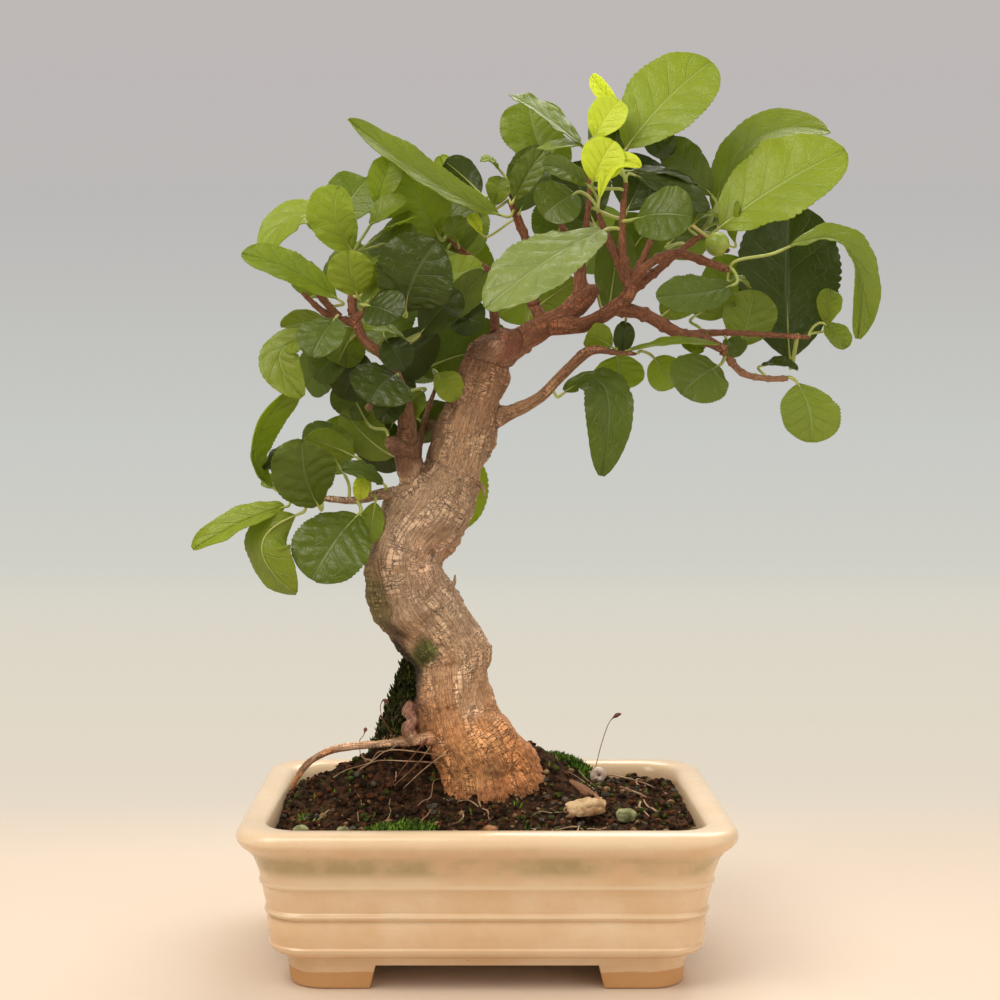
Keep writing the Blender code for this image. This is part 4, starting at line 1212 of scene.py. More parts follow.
@dataclass
class TreeWood:
    """The trunk, roots, limbs and twigs."""

    voxel: float = 0.62
    softening: int = 20
    lump_rise: float = 2.4
    lump_scale: float = 75.0
    batch: int = 4000  # vertices measured against the spines at a time
    zones: tuple = (  # height on the elevation, colour of the bark there
        (40.0, (0.34, 0.14, 0.05)), (56.0, (0.66, 0.27, 0.095)), (72.0, (0.72, 0.34, 0.14)),
        (90.0, (0.72, 0.44, 0.25)), (110.0, (0.58, 0.39, 0.245)), (140.0, (0.56, 0.37, 0.23)),
        (160.0, (0.52, 0.33, 0.19)), (185.0, (0.45, 0.24, 0.125)), (200.0, (0.32, 0.125, 0.06)),
        (300.0, (0.30, 0.10, 0.033)),
    )
    patches: tuple = (
        Patch(-36, 115, 5, 13, (0.22, 0.2, 0.05), 0.7),
        Patch(-20, 96, 5, 5, (0.098, 0.14, 0.017), 0.9),
        # Painted shade: the back root behind the trunk, darkened almost to black.
        Patch(-31, 78, 9.5, 22, (0.035, 0.022, 0.010), 0.97),
        Patch(-26, 168, 7, 15, (0.20, 0.085, 0.04), 0.85),
        # Painted shade at the foot of the back root.
        Patch(-31, 58, 9, 10, (0.06, 0.035, 0.018), 0.9),
        Patch(6, 197, 6, 3, (0.34, 0.12, 0.07), 0.8),
        Patch(-25, 74, 3.5, 6.5, (0.50, 0.25, 0.17), 0.9),
        Patch(4, 57.6, 3.4, 2.4, (0.05, 0.025, 0.012), 0.9),
        Patch(-18, 128, 7, 9, (0.78, 0.47, 0.29), 0.5),
        Patch(-9, 164, 6, 8, (0.7, 0.43, 0.25), 0.5),
        Patch(-4, 62, 9, 8, (0.85, 0.43, 0.17), 0.55),
        Patch(10, 56, 5, 9, (0.73, 0.3, 0.1), 0.6),
        Patch(-6, 84, 4, 12, (0.84, 0.58, 0.37), 0.5),
        Patch(1, 197, 4, 4, (0.5, 0.29, 0.18), 0.7),
        Patch(24, 206, 18, 7, (0.24, 0.081, 0.031), 0.85),
        # Partly painted light: the arching root's pale bark, brightened further to make up for the tree's shadow
        # on it.
        Patch(-39, 66, 21, 4, (0.98, 0.60, 0.36), 1.0),
        Patch(-57, 60, 8, 8, (0.52, 0.30, 0.17), 0.9),
        Patch(30, 50, 12, 5, (0.22, 0.1, 0.045), 0.8),
    )

    def build(self) -> None:
        """Models the wood and hands it over."""
        self.old_wood()
        self.twigs()

    def old_wood(self) -> None:
        """Limbs as tubes, grown together, then carved with fissures and plates along their grain."""
        bark = BarkFinish("old_bark").material()
        tubes, spines = [], []
        for number, wood in enumerate(OLD_WOOD):
            path, radii = wood.line(1.6)
            tubes.append(settle(rod("limb", path, radii, 28, bark)))
            spines.append(self.spine(path, radii, 60.0 * number))
        piece = join(tubes, "trunk_and_limbs")
        grow = piece.modifiers.new("grown_together", "REMESH")
        grow.mode = "VOXEL"
        grow.voxel_size = self.voxel * MM
        soften = piece.modifiers.new("softened", "SMOOTH")
        soften.iterations = self.softening
        apply_modifiers(piece)
        spine = np.concatenate(spines)
        mesh = piece.data
        count = len(mesh.vertices)
        places = np.empty(count * 3)
        mesh.vertices.foreach_get("co", places)
        places = places.reshape(-1, 3)
        normals = np.empty(count * 3)
        mesh.vertices.foreach_get("normal", normals)
        grain, girth = self.grain_of(places, spine)
        lumps = [
            self.lump_rise * noise.fractal(Vector(place) * self.lump_scale, 1.0, 2.0, 3) for place in places
        ]
        depth = np.array([self.relief(*found) for found in zip(map(Vector, grain), girth, lumps)])
        places = places + normals.reshape(-1, 3) * (depth * MM)[:, None]
        mesh.vertices.foreach_set("co", places.ravel())
        self.colour(mesh, places, grain, 1.0)
        mesh.materials.clear()
        mesh.materials.append(bark)
        settle(piece, 70.0)
        hand_over(piece, ("tree_wood",))

    def spine(self, path: list[Vector], radii: list[float], start: float) -> np.ndarray:
        """A row for each point of a centre line: place, two cross axes, radius and run, in millimetres."""
        rows = []
        side = Vector((0, 1, 0))
        run = start
        for k, centre in enumerate(path):
            along = heading(path, k)
            side = (side - along * side.dot(along)).normalized()
            run += (centre - path[k - 1]).length / MM if k else 0.0
            rows.append((*(centre / MM), *side, *along.cross(side), radii[k] / MM, run))
        return np.array(rows)

    def grain_of(self, places: np.ndarray, spine: np.ndarray) -> tuple[np.ndarray, np.ndarray]:
        """Each vertex's grain and the girth of the wood round it.

        Args:
            places: The vertices, in metres.
            spine: The rows of every centre line.

        Returns:
            The grain in millimetres, across, across and along; and the radius of the limb.
        """
        grain = np.empty_like(places)
        girth = np.empty(len(places))
        for start in range(0, len(places), self.batch):
            rows = slice(start, start + self.batch)
            part = places[rows] / MM
            offset = part[:, None, :] - spine[None, :, 0:3]
            distance = np.linalg.norm(offset, axis=2) - spine[None, :, 9]
            chosen = spine[distance.argmin(axis=1)]
            away = part - chosen[:, 0:3]
            grain[rows, 0] = (away * chosen[:, 3:6]).sum(axis=1)
            grain[rows, 1] = (away * chosen[:, 6:9]).sum(axis=1)
            along = np.cross(chosen[:, 3:6], chosen[:, 6:9])
            grain[rows, 2] = chosen[:, 10] - (away * along).sum(axis=1)
            girth[rows] = chosen[:, 9]
        return grain, girth

    def relief(self, spot: Vector, girth: float, lumps: float) -> float:
        """How far the bark stands out, in millimetres.

        Args:
            spot: The grain there.
            girth: The radius of the limb.
            lumps: How far the limb's own lumps stand out.

        Returns:
            The distance along the surface's normal.
        """
        strength = min(1.0, girth / 11.0)
        stretched = Vector((spot.x, spot.y, 0.28 * spot.z))
        fibres = noise.noise(stretched * 0.45) * 0.7 + noise.noise(stretched * 1.3) * 0.35
        coarse = spot * 0.25
        warped = stretched + 2.6 * Vector((noise.noise(coarse), noise.noise(coarse + Vector((9, 0, 0))), 0))
        cells = noise.voronoi(warped * 0.5)[0]
        plates = min(0.3, cells[1] - cells[0]) / 0.3
        flaking = max(0.0, noise.noise(spot * 0.12 + Vector((5, 5, 5))) + 0.25)
        return strength * (lumps + fibres + 0.75 * flaking * (plates - 0.5)) - 0.1

    def colour(self, mesh: bpy.types.Mesh, places: np.ndarray, grain: np.ndarray, warmth: float) -> None:
        """Writes each vertex's grain and bark colour as attributes."""
        scale = ((places[:, 1] - PLAN.centre.y) / MM - PLAN.eye.y) / -PLAN.eye.y
        drawn_x = PLAN.eye.x + ((places[:, 0] - PLAN.centre.x) / MM - PLAN.eye.x) / scale
        drawn_z = PLAN.eye.z + ((places[:, 2] - PLAN.centre.z) / MM - PLAN.eye.z) / scale
        heights = [height for height, _ in self.zones]
        channels = zip(*(tone for _, tone in self.zones))
        tint = np.stack([np.interp(drawn_z, heights, channel) for channel in channels], axis=1)
        ragged = np.array([noise.noise(Vector(place) * 90) for place in places])
        for patch in self.patches:
            reach = np.hypot((drawn_x - patch.x) / patch.half_x, (drawn_z - patch.z) / patch.half_z)
            share = np.clip((1.15 - reach + 0.9 * ragged) * 2.2, 0, 1)[:, None] * patch.strength
            tint = tint * (1 - share) + np.array(patch.colour) * share
        tint = np.clip(tint * warmth, 0, 1)
        grain_layer = mesh.attributes.new("grain", "FLOAT_VECTOR", "POINT")
        grain_layer.data.foreach_set("vector", grain.ravel())
        tint_layer = mesh.attributes.new("tint", "FLOAT_COLOR", "POINT")
        tint_layer.data.foreach_set("color", np.concatenate([tint, np.ones((len(tint), 1))], axis=1).ravel())

    def twigs(self) -> None:
        """Each twig a closed tube with swollen nodes."""
        bark = BarkFinish("twig_bark", plates=1.1, stretch=0.25, relief=0.0003).material()
        heap = Heap()
        grains = []
        for number, wood in enumerate(TWIGS):
            path, radii = wood.line(0.8)
            for k, share in enumerate(share_of_path(path)):
                node = math.exp(-(((share * 5.3 + 0.3 * number) % 1.0 - 0.5) ** 2) * 90)
                radii[k] *= 1 + 0.28 * node + 0.12 * noise.noise(path[k] * 400)
            skin, sides, grain = tube(path, radii, 14)
            heap.add(skin, sides)
            grains += [spot / MM for spot in grain]
        piece = heap.piece("twigs", [bark])
        self.colour(piece.data, np.array(heap.points), np.array(grains), 0.9)
        settle(piece, 70.0)
        hand_over(piece)


# ============================================================================ the leaves
@dataclass(frozen=True)
class Leaf:
    """A leaf: stalk end, midrib's middle and tip as (x, z, depth) in millimetres, its width and its facing."""

    foot: Spot
    middle: Spot
    tip: Spot
    width: float
    face: Spot
    age: Age = FRESH
    fold: float = 0.16  # rise of each edge over the midrib, as a share of the half width
    blisters: float = 0.35  # how far the skin swells between the veins, in millimetres
    waves: float = 0.5  # how far the edge ripples, in millimetres


# The large leaves, in the order of the frame's numbers, shoot by shoot.
LARGE_LEAVES = {
    "low_left": (
        Leaf((-65, 144, -14), (-78, 140, -17), (-96, 130, -20), 9, (0.3, -0.5, 0.8), BRIGHT, 0.35, 0.3, 0.8),
        Leaf((-68, 149, -13), (-76, 164, -16), (-61, 184, -16), 10, (0.9, -0.4, 0.2), BRIGHT, 0.5, 0.3, 0.6),
        Leaf((-54, 143, -14), (-59, 154, -24), (-60, 166, -29), 17, (0, -0.95, 0.3), MATURE, 0.1, 0.7, 0.7),
        Leaf((-33, 151, -9), (-39, 155, -14), (-47, 156, -20), 8, (-0.1, -0.7, 0.7), MATURE),
        Leaf((-29, 160, 0), (-39, 167, 4), (-46, 176, 6), 14, (0.3, 0.9, 0.3), FRESH),
        Leaf((-60, 142, -16), (-73, 131, -20), (-62, 115.5, -22), 15, (0.5, 0.8, 0.3), FRESH, 0.3, 0.4, 0.8),
        Leaf((-41, 142, -11), (-49, 133, -20), (-57, 120, -24), 21, (0.1, -0.75, 0.65), MATURE, 0.04, 0.8, 0.6),
    ),
    "mid_left": (
        Leaf((-50, 200, -16), (-67, 195, -19), (-60, 180, -23), 11, (-0.2, -0.8, 0.5), FRESH),
        Leaf((-49, 206, -18), (-53, 201, -26), (-57, 193, -30), 13, (-0.1, -0.8, 0.6), MATURE),
        Leaf((-50, 205, -7), (-58, 205, -3), (-67, 203, 0), 9, (0, 0.5, 0.8), FRESH),
        Leaf((-29, 187, -15), (-33, 185, -22), (-38, 178, -27), 18, (0, -0.9, 0.4), DARK, 0.05, 0.8, 0.8),
        Leaf((-24, 187, 24), (-7, 194, 25), (9, 195, 26), 19, (0, 0.95, 0.2), MATURE),
        Leaf((-14, 166, 20), (-8, 152, 32), (-12, 136, 38), 16, (0, 0.9, 0.4), BRIGHT),
    ),
    "high_left": (
        Leaf((-46, 225, -10), (-59, 240, -8), (-74, 227, -8), 14, (0, -0.6, 0.8), BRIGHT, 0.12, 0.4, 0.6),
        Leaf((-47, 211, -17), (-63, 221, -22), (-80, 227, -24), 10, (0.2, -0.8, 0.5), BRIGHT, 0.3),
        Leaf((-43, 227, -13), (-49, 238, -18), (-48, 249, -20), 16, (-0.5, -0.8, 0.2), BRIGHT, 0.25),
        Leaf((-42, 213, -19), (-44, 220, -24), (-45, 228, -26), 12, (0, -0.9, 0.3), BRIGHT),
        Leaf((-15, 232, 2), (-21, 243, -3), (-27, 255, -6), 18, (-0.3, -0.9, 0.3), BRIGHT, 0.1, 0.5, 0.7),
        Leaf((-26, 207, -22), (-24, 218, -30), (-16, 231, -34), 22, (-0.1, -0.95, 0.2), DARK, 0.06, 0.7, 0.9),
        Leaf((-39, 210, -26), (-34, 209, -32), (-28, 206, -36), 12, (0, -0.9, 0.4), DARK),
        Leaf((7, 239, -6), (-16, 250, -10), (-45, 271, -12), 11, (0.3, -0.7, 0.6), FRESH, 0.3, 0.3, 0.7),
        Leaf((-12, 239, 14), (-12, 249, 18), (-15, 259, 20), 9, (0, -0.9, 0.3), BRIGHT),
    ),
    "top": (
        Leaf((45, 260, -8), (58, 276, -6), (74, 290, -2), 23, (-0.2, -0.85, 0.4), BRIGHT, 0.14, 0.35, 0.4),
        Leaf((33, 261, 2), (20, 272, 5), (8, 279, 8), 13, (0.3, -0.4, 0.8), FRESH, 0.2),
        Leaf((20, 256, 16), (16, 267, 20), (14, 277, 22), 19, (-0.1, -0.9, 0.3), FRESH, 0.1),
        Leaf((35, 250, -16), (38, 257, -19), (42, 264, -20), 12, (0, -0.9, 0.4), YOUNG, 0.14, 0.15, 0.2),
        Leaf((34, 249, -19), (27, 254, -24), (19, 256, -27), 9, (0, -0.8, 0.6), MATURE),
        Leaf((9, 244, -9), (13, 252, -12), (19, 261, -13), 8, (0, -0.9, 0.4), MATURE),
        # This leaf's pale colours are painted sheen, the soft box's reflection on its glossy skin.
        Leaf((40, 235, -16), (22, 226, -40), (0, 209, -48), 20, (-0.3, -0.75, 0.55), PALE, 0.14, 1.0, 0.8),
        Leaf((48, 253, -9), (61, 248, -9), (73, 241, -12), 9, (0, -0.8, 0.6), DARK),
        Leaf((48, 238, -22), (57, 240, -30), (68, 239, -33), 17, (0, -0.9, 0.4), MATURE, 0.06),
    ),
    "right": (
        Leaf((74, 238, 4), (88, 264, 8), (113, 267, 10), 15, (-0.2, -0.7, 0.7), FRESH, 0.2, 0.3, 0.9),
        Leaf((75, 234, -6), (94, 248, -10), (118, 261, -12), 25, (-0.2, -0.8, 0.5), BRIGHT, 0.2, 0.35, 0.9),
        Leaf((100, 190, 2), (99, 216, 6), (100, 243, 8), 29, (0, -1, 0.1), DARK, 0.16, 0.5, 0.8),
        Leaf((97, 228, -20), (119, 229, -24), (122, 199, -22), 12, (0.4, -0.6, 0.7), FRESH, 0.4, 0.3, 0.7),
        Leaf((82, 217, -24), (70, 214, -32), (56, 213, -35), 12, (0, -0.85, 0.5), MATURE, 0.05),
        Leaf((83, 196, -3), (86, 205, -1), (88, 215, 0), 15, (0, -0.9, 0.3), FRESH),
        Leaf((77, 190.5, -18), (71, 187, -26), (64, 181, -30), 16, (0, -0.9, 0.4), MATURE, 0.06),
        Leaf((102, 185, -13), (106, 176, -20), (107, 165, -22), 17, (0.2, -0.9, 0.3), FRESH, 0.1),
        Leaf((24, 180, -8), (39, 183, -22), (38, 154, -26), 13, (0.1, -0.8, 0.6), MATURE, 0.1, 0.5, 1.3),
    ),
    "back": (
        Leaf((-31, 192, 36), (-34, 204, 42), (-36, 217, 44), 20, (0, 0.9, 0.4), MATURE),
        Leaf((-28, 186, 38), (-18, 192, 48), (-6, 194, 54), 17, (0, 0.8, 0.5), MATURE),
        Leaf((31, 220, 46), (36, 231, 54), (38, 243, 58), 20, (0, 0.9, 0.4), FRESH),
        Leaf((28, 213, 46), (16, 212, 58), (4, 207, 64), 18, (0, 0.8, 0.5), FRESH),
        Leaf((-5, 223, 24), (-8, 234, 30), (-9, 246, 32), 17, (0, 0.9, 0.3), FRESH),
    ),
}


LONGER, WIDER = 1.12, 1.15  # what a small leaf gains over its drawn outline


def small(foot: Spot, tip: Spot, width: float, face: Spot, age: Age, arch: float = 2.0) -> Leaf:
    """A small leaf, arched between its foot and tip.

    Args:
        foot: Its stalk end as (x, z, depth).
        tip: Its tip.
        width: Its width in millimetres.
        face: Which way its upper side faces.
        age: Its age.
        arch: How far the middle bows out along the face, in millimetres.

    Returns:
        The leaf.
    """
    bow = (arch * face[0], arch * face[2], arch * face[1])
    far = tuple(a + LONGER * (b - a) for a, b in zip(foot, tip))
    middle = tuple((a + b) / 2 + c for a, b, c in zip(foot, far, bow))
    return Leaf(foot, middle, far, WIDER * width, face, age, fold=0.2, blisters=0.25, waves=0.4)


FRONT, BACK, UP = (0, -0.9, 0.4), (0, 0.9, 0.3), (0.1, -0.4, 0.9)
LEFT, RIGHT = (-0.7, -0.6, 0.4), (0.7, -0.6, 0.4)

# The small leaves that fill the shoots; each shoot becomes one piece.
SMALL_LEAVES = {
    "low_left": (
        small((-55, 162, -10), (-71, 157, -14), 8, UP, DARK),
        small((-39, 172, 2), (-46, 184, 4), 12, BACK, MATURE),
        small((-42, 160, -4), (-57, 166, -8), 7, BACK, BRIGHT),
        small((-46, 154, 0), (-54, 167, 2), 12, BACK, FRESH),
        small((-58, 146, -4), (-72, 151, -6), 9, UP, BRIGHT),
        small((-36, 146, -10), (-38, 133.5, -12), 6, BACK, BRIGHT),
        small((-40, 154, -8), (-41, 147, -10), 4, FRONT, YOUNG),
        small((-46, 168, 12), (-56, 160, 16), 14, FRONT, MATURE),
        small((-30, 172, 14), (-36, 158, 18), 14, FRONT, DARK),
    ),
    "mid_left": (
        small((-46, 197, -8), (-55, 187, -6), 10, FRONT, MATURE),
        small((-42, 203, -8), (-48, 192, -12), 10, BACK, FRESH),
        small((-40, 195, -4), (-46, 181, -2), 12, FRONT, DARK),
        small((-20, 182, -4), (-28, 174, -6), 8, FRONT, FRESH),
        small((-25, 198, -12), (-38, 202, -16), 7, UP, BRIGHT),
        small((-33, 199, -14), (-27, 190, -18), 8, FRONT, DARK),
        small((-27, 180, -12), (-34, 173, -16), 7, FRONT, DARK),
        small((-16, 188, -4), (-10, 180, -6), 7, FRONT, BRIGHT),
        small((-38, 190, 10), (-30, 176, 14), 15, FRONT, DARK),
        small((-30, 200, 12), (-20, 190, 16), 15, FRONT, DARK),
        small((-22, 178, 14), (-16, 168, 18), 12, FRONT, MATURE),
        small((-50, 192, 4), (-58, 184, 8), 12, FRONT, MATURE),
    ),
    "high_left": (
        small((-38, 236, -8), (-27, 244, -10), 8, LEFT, FRESH),
        small((-36, 232, -6), (-24, 238, -10), 8, UP, BRIGHT),
        small((-34, 230, -4), (-23, 232, -8), 7, FRONT, FRESH),
        small((-36, 242, -4), (-31, 257, -6), 8, FRONT, BRIGHT),
        small((-41, 213, -14), (-31, 224, -18), 7, RIGHT, BRIGHT),
        small((-39, 211, -16), (-26, 222, -20), 8, UP, FRESH),
        small((-22, 200, -16), (-10, 213, -20), 10, FRONT, DARK),
        small((-20, 202, -10), (-2, 219, -12), 8, RIGHT, MATURE),
        small((-12, 206, -6), (-2, 204, -10), 10, FRONT, DARK),
        small((-20, 215, -2), (-3, 222, -4), 9, FRONT, BRIGHT),
        small((-1, 246, 6), (-12, 256, 8), 8, BACK, DARK),
        small((2, 242, 2), (-9, 244, 0), 6, UP, BRIGHT),
        small((-1, 233, -2), (-5, 239, -4), 3, FRONT, YOUNG),
        small((-9, 230, 0), (-11, 238, -2), 6, FRONT, FRESH),
        small((5, 254, -2), (-1, 257, -4), 5, UP, BRIGHT),
        small((-50, 236, 4), (-40, 250, 8), 13, FRONT, FRESH),
        small((-30, 238, 10), (-36, 252, 14), 13, BACK, FRESH),
        small((-8, 226, 12), (-12, 242, 16), 14, FRONT, MATURE),
        small((-22, 220, 14), (-34, 232, 18), 15, FRONT, MATURE),
        small((-36, 218, 8), (-50, 224, 10), 13, FRONT, FRESH),
        small((-52, 212, 2), (-60, 222, 0), 9, LEFT, FRESH),
        small((-26, 224, -8), (-38, 216, -12), 10, FRONT, FRESH),
        small((-14, 222, -8), (-26, 228, -10), 10, UP, MATURE),
    ),
    "top": (
        small((33, 263, 4), (45, 272, 6), 9, UP, MATURE),
        small((46, 272, -4), (36, 284, -2), 4, LEFT, YOUNG),
        small((35, 264, -10), (43, 276, -10), 9, FRONT, YOUNG),
        Leaf((37, 243, -18), (42, 256, -20), (51, 255.5, -22), 5, (-0.4, -0.8, 0.4), YOUNG, 0.3, 0.1, 0.2),
        small((42, 256, 2), (44, 274, 4), 10, FRONT, DARK),
        small((30, 247, -12), (20, 240, -16), 12, FRONT, MATURE),
        small((13, 258, 4), (30, 262, 4), 7, UP, BRIGHT),
        small((11, 240, -2), (17, 254, -4), 9, FRONT, MATURE),
        small((3, 242, 0), (5, 251, -2), 6, FRONT, FRESH),
        small((46, 254, -2), (67, 250, -4), 7, UP, DARK),
        small((75, 245, 2), (60, 262, 4), 10, FRONT, MATURE),
        small((52, 266, 0), (60, 260, -2), 8, FRONT, DARK),
        small((36, 236, 10), (28, 254, 14), 15, FRONT, DARK),
        small((46, 240, 8), (54, 256, 12), 15, FRONT, DARK),
        small((24, 246, 12), (10, 256, 16), 14, BACK, MATURE),
        small((58, 246, 12), (70, 256, 16), 13, FRONT, MATURE),
        small((50, 262, 10), (58, 272, 14), 9, BACK, FRESH),
    ),
    "right": (
        small((67, 236, -4), (75, 239, -6), 6, UP, BRIGHT),
        small((82, 230, -4), (82, 243, -6), 5, LEFT, BRIGHT),
        small((88, 240, 0), (100, 242, -2), 8, UP, FRESH),
        small((111, 204, 0), (118, 197, -2), 6, FRONT, FRESH),
        small((112, 203, 2), (113, 214, 0), 6, FRONT, BRIGHT),
        small((80, 218, -18), (86, 216, -18), 4, UP, FRESH),
        small((79, 199, -10), (83, 194, -14), 6, FRONT, MATURE),
        small((55, 193, -12), (61, 184, -14), 9, BACK, BRIGHT),
        small((43, 194, -8), (44, 184, -10), 12, BACK, BRIGHT),
        small((46, 195, -14), (73, 197, -18), 5, UP, BRIGHT),
        small((65, 200, -8), (71, 196, -12), 7, FRONT, BRIGHT),
        small((42, 196, -10), (34, 200, -12), 7, BACK, BRIGHT),
        small((90, 190, -8), (101, 189, -10), 6, UP, DARK),
        small((57, 206, -4), (67, 213, -6), 9, BACK, FRESH),
        small((68, 206, -2), (80, 213, -4), 9, BACK, FRESH),
        small((46, 205, -8), (45, 196, -10), 5, FRONT, DARK),
        small((40, 206, 14), (44, 232, 16), 10, BACK, MATURE),
        small((15, 208, 20), (28, 217, 22), 10, BACK, FRESH),
        small((60, 230, 10), (72, 240, 12), 12, FRONT, MATURE),
        small((70, 210, 10), (84, 222, 12), 12, BACK, FRESH),
    ),
    "back": (
        small((-20, 206, 30), (-28, 220, 34), 15, BACK, MATURE),
        small((20, 226, 30), (28, 242, 32), 16, BACK, MATURE),
        small((58, 226, 22), (70, 238, 26), 15, BACK, FRESH),
        small((-44, 158, 14), (-54, 168, 18), 15, BACK, FRESH),
        small((14, 250, 26), (22, 266, 28), 15, BACK, FRESH),
        small((44, 222, 30), (54, 236, 34), 15, BACK, MATURE),
        small((0, 214, 34), (-10, 226, 38), 15, BACK, FRESH),
    ),
}


@dataclass
class Foliage:
    """All the leaves, each a toothed blade with a pale midrib on a thin stalk."""

    rows: int = 100
    columns: int = 20
    teeth: int = 20
    thickness: float = 0.30
    longest_stalk: float = 19.0
    blade_start: float = 0.05
    rib_points: int = 26
    rib_length: float = 0.95  # of the blade
    breadth: float = 1.2  # the tables give widths as drawn; turned blades are wider
    seed: int = 41

    def __post_init__(self) -> None:
        """Gathers the wood that stalks can grow from and the skins."""
        self.wood = [point for wood in (*OLD_WOOD, *TWIGS) for point in wood.line(2.0)[0]]
        self.skins = {age: [LeafFinish(age, side).material() for side in Side] for age in Age}
        stalk = MottledFinish("leaf_stalk", (0.30, 0.36, 0.07), (0.46, 0.50, 0.14), 0.45, 90.0)
        self.stalk_skin = stalk.material()
        self.chance = Random(self.seed)

    def build(self) -> None:
        """Models every leaf and hands the pieces over."""
        for shoot, leaves in LARGE_LEAVES.items():
            for number, leaf in enumerate(leaves, 1):
                piece = self.leaf(f"blade_{shoot}_{number}", leaf, self.rows, self.columns)
                hand_over(piece, (f"leaf_{shoot}_{number}",))
        for shoot, leaves in SMALL_LEAVES.items():
            pieces = [self.leaf("small_leaf", leaf, self.rows // 2, self.columns // 2) for leaf in leaves]
            hand_over(join(pieces, f"small_leaves_{shoot}"))

    def half_width(self, share: float) -> float:
        """The blade's half width at a share of its length, 1 at its widest."""
        return share**0.72 * (1 - share) ** 0.52 / 0.4310

    def leaf(self, name: str, leaf: Leaf, rows: int, columns: int) -> Piece:
        """One whole leaf: blade, midrib and stalk.

        Args:
            name: The piece's name.
            leaf: Where and how it grows.
            rows: How many faces long the blade is.
            columns: How many faces wide.

        Returns:
            The joined piece.
        """
        foot, middle, tip = (PLAN.place(spot) for spot in (leaf.foot, leaf.middle, leaf.tip))
        bend = 2 * middle - (foot + tip) / 2
        seed = Vector([self.chance.uniform(0, 50) for _ in range(3)])
        blade = sheet(columns, rows, 2)
        blade.name = name
        for vertex in blade.data.vertices:
            across, share = vertex.co.x, (vertex.co.y + 1) / 2
            vertex.co = self.surface(leaf, (foot, bend, tip), across, share, seed)
        skin = blade.modifiers.new("thickness", "SOLIDIFY")
        skin.thickness = self.thickness * MM
        skin.offset = -1
        skin.material_offset = 1
        apply_modifiers(blade)
        for material in self.skins[leaf.age]:
            blade.data.materials.append(material)
        tone = blade.data.attributes.new("tone", "FLOAT", "POINT")
        value = self.chance.random()
        tone.data.foreach_set("value", [value] * len(blade.data.vertices))
        settle(blade, 60.0)
        return join([blade, self.stalk(leaf, (foot, bend, tip))], name)

    def frame_at(self, leaf: Leaf, curve: Curve, share: float) -> tuple[Vector, Vector, Vector]:
        """The midrib's place at a share of its length, and the directions across and up from the blade."""
        foot, bend, tip = curve
        centre = (1 - share) ** 2 * foot + 2 * share * (1 - share) * bend + share**2 * tip
        along = ((1 - share) * (bend - foot) + share * (tip - bend)).normalized()
        face = Vector(leaf.face)
        up = (face - along * face.dot(along)).normalized()
        return centre, along.cross(up), up

    def surface(self, leaf: Leaf, curve: Curve, across: float, share: float, seed: Vector) -> Vector:
        """A point of the blade's upper side.

        Args:
            leaf: The leaf.
            curve: Its midrib as a quadratic curve.
            across: From -1 at one edge to 1 at the other.
            share: From 0 at the foot to 1 at the tip.
            seed: Sets this leaf's own unevenness.

        Returns:
            The point in metres.
        """
        share = self.blade_start + (1 - self.blade_start) * share
        run = (share - self.blade_start) / (1 - self.blade_start)
        edge = abs(across)
        centre, side, up = self.frame_at(leaf, curve, share)
        half = leaf.width / 2 * self.breadth * self.half_width(min(max(run, 0.004), 0.996))
        tooth = 2 * ((run * self.teeth) % 1.0) - 1
        half *= 1 + edge**6 * 0.04 * (0.3 + 0.3 * tooth - tooth**2) * (4 * run * (1 - run)) ** 0.5
        half *= 1 + 0.06 * noise.noise(seed + Vector((0, 0, run * 4 + (across > 0) * 9)))
        reach = across * half
        rise = leaf.fold * half * edge**1.35
        phase = (run * LeafFinish.vein_pairs - edge**0.8 * LeafFinish.vein_sweep) % 1.0
        swell = 0.0
        if edge < 0.98:
            swell = (1 - (2 * phase - 1) ** 2) * math.sin(math.pi * min(1.0, edge * 1.02)) ** 0.7
        rise += 0.75 * leaf.blisters * swell * (4 * run * (1 - run)) ** 0.5
        uneven = noise.noise(seed + Vector((reach, run * leaf.width * 1.6, 0)) * 0.45)
        rise += leaf.blisters * 0.8 * uneven * edge**0.5
        rise += leaf.waves * edge**2 * noise.noise(seed + Vector((across * 0.6, 0, run * 7))) * 2.0
        rise -= 0.22 * math.exp(-((edge / 0.07) ** 2))
        return centre + (reach * side + rise * up) * MM

    def stalk(self, leaf: Leaf, curve: Curve) -> Piece:
        """The stalk from the nearest twig and the midrib under the blade, as one tapering tube."""
        foot, bend, _ = curve
        nearest = min(self.wood, key=lambda point: (point - foot).length)
        path = []
        gap = (foot - nearest).length
        if 1.0 * MM < gap < self.longest_stalk * MM:
            leaving = nearest + Vector((0, 0, 0.3)) * gap
            arriving = foot - (bend - foot).normalized() * 0.4 * gap
            for k in range(12):
                t = k / 12
                first, last = leaving.lerp(arriving, t), nearest.lerp(leaving, t)
                path.append(last.lerp(first, t).lerp(first.lerp(arriving.lerp(foot, t), t), t))
        stub = len(path)
        count = self.rib_points
        for k in range(count + 1):
            share = self.rib_length * k / count
            centre, _, up = self.frame_at(leaf, curve, share)
            sunk = 0.5 * min(1.0, k / 4)
            path.append(centre - up * sunk * MM)
        wide = 0.38 + 0.012 * leaf.width
        radii = []
        for k in range(len(path)):
            share = max(0.0, (k - stub) / count)
            radii.append((wide * (1 - 0.85 * share**0.45)) * MM)
        return settle(rod("stalk", path, radii, 8, self.stalk_skin))


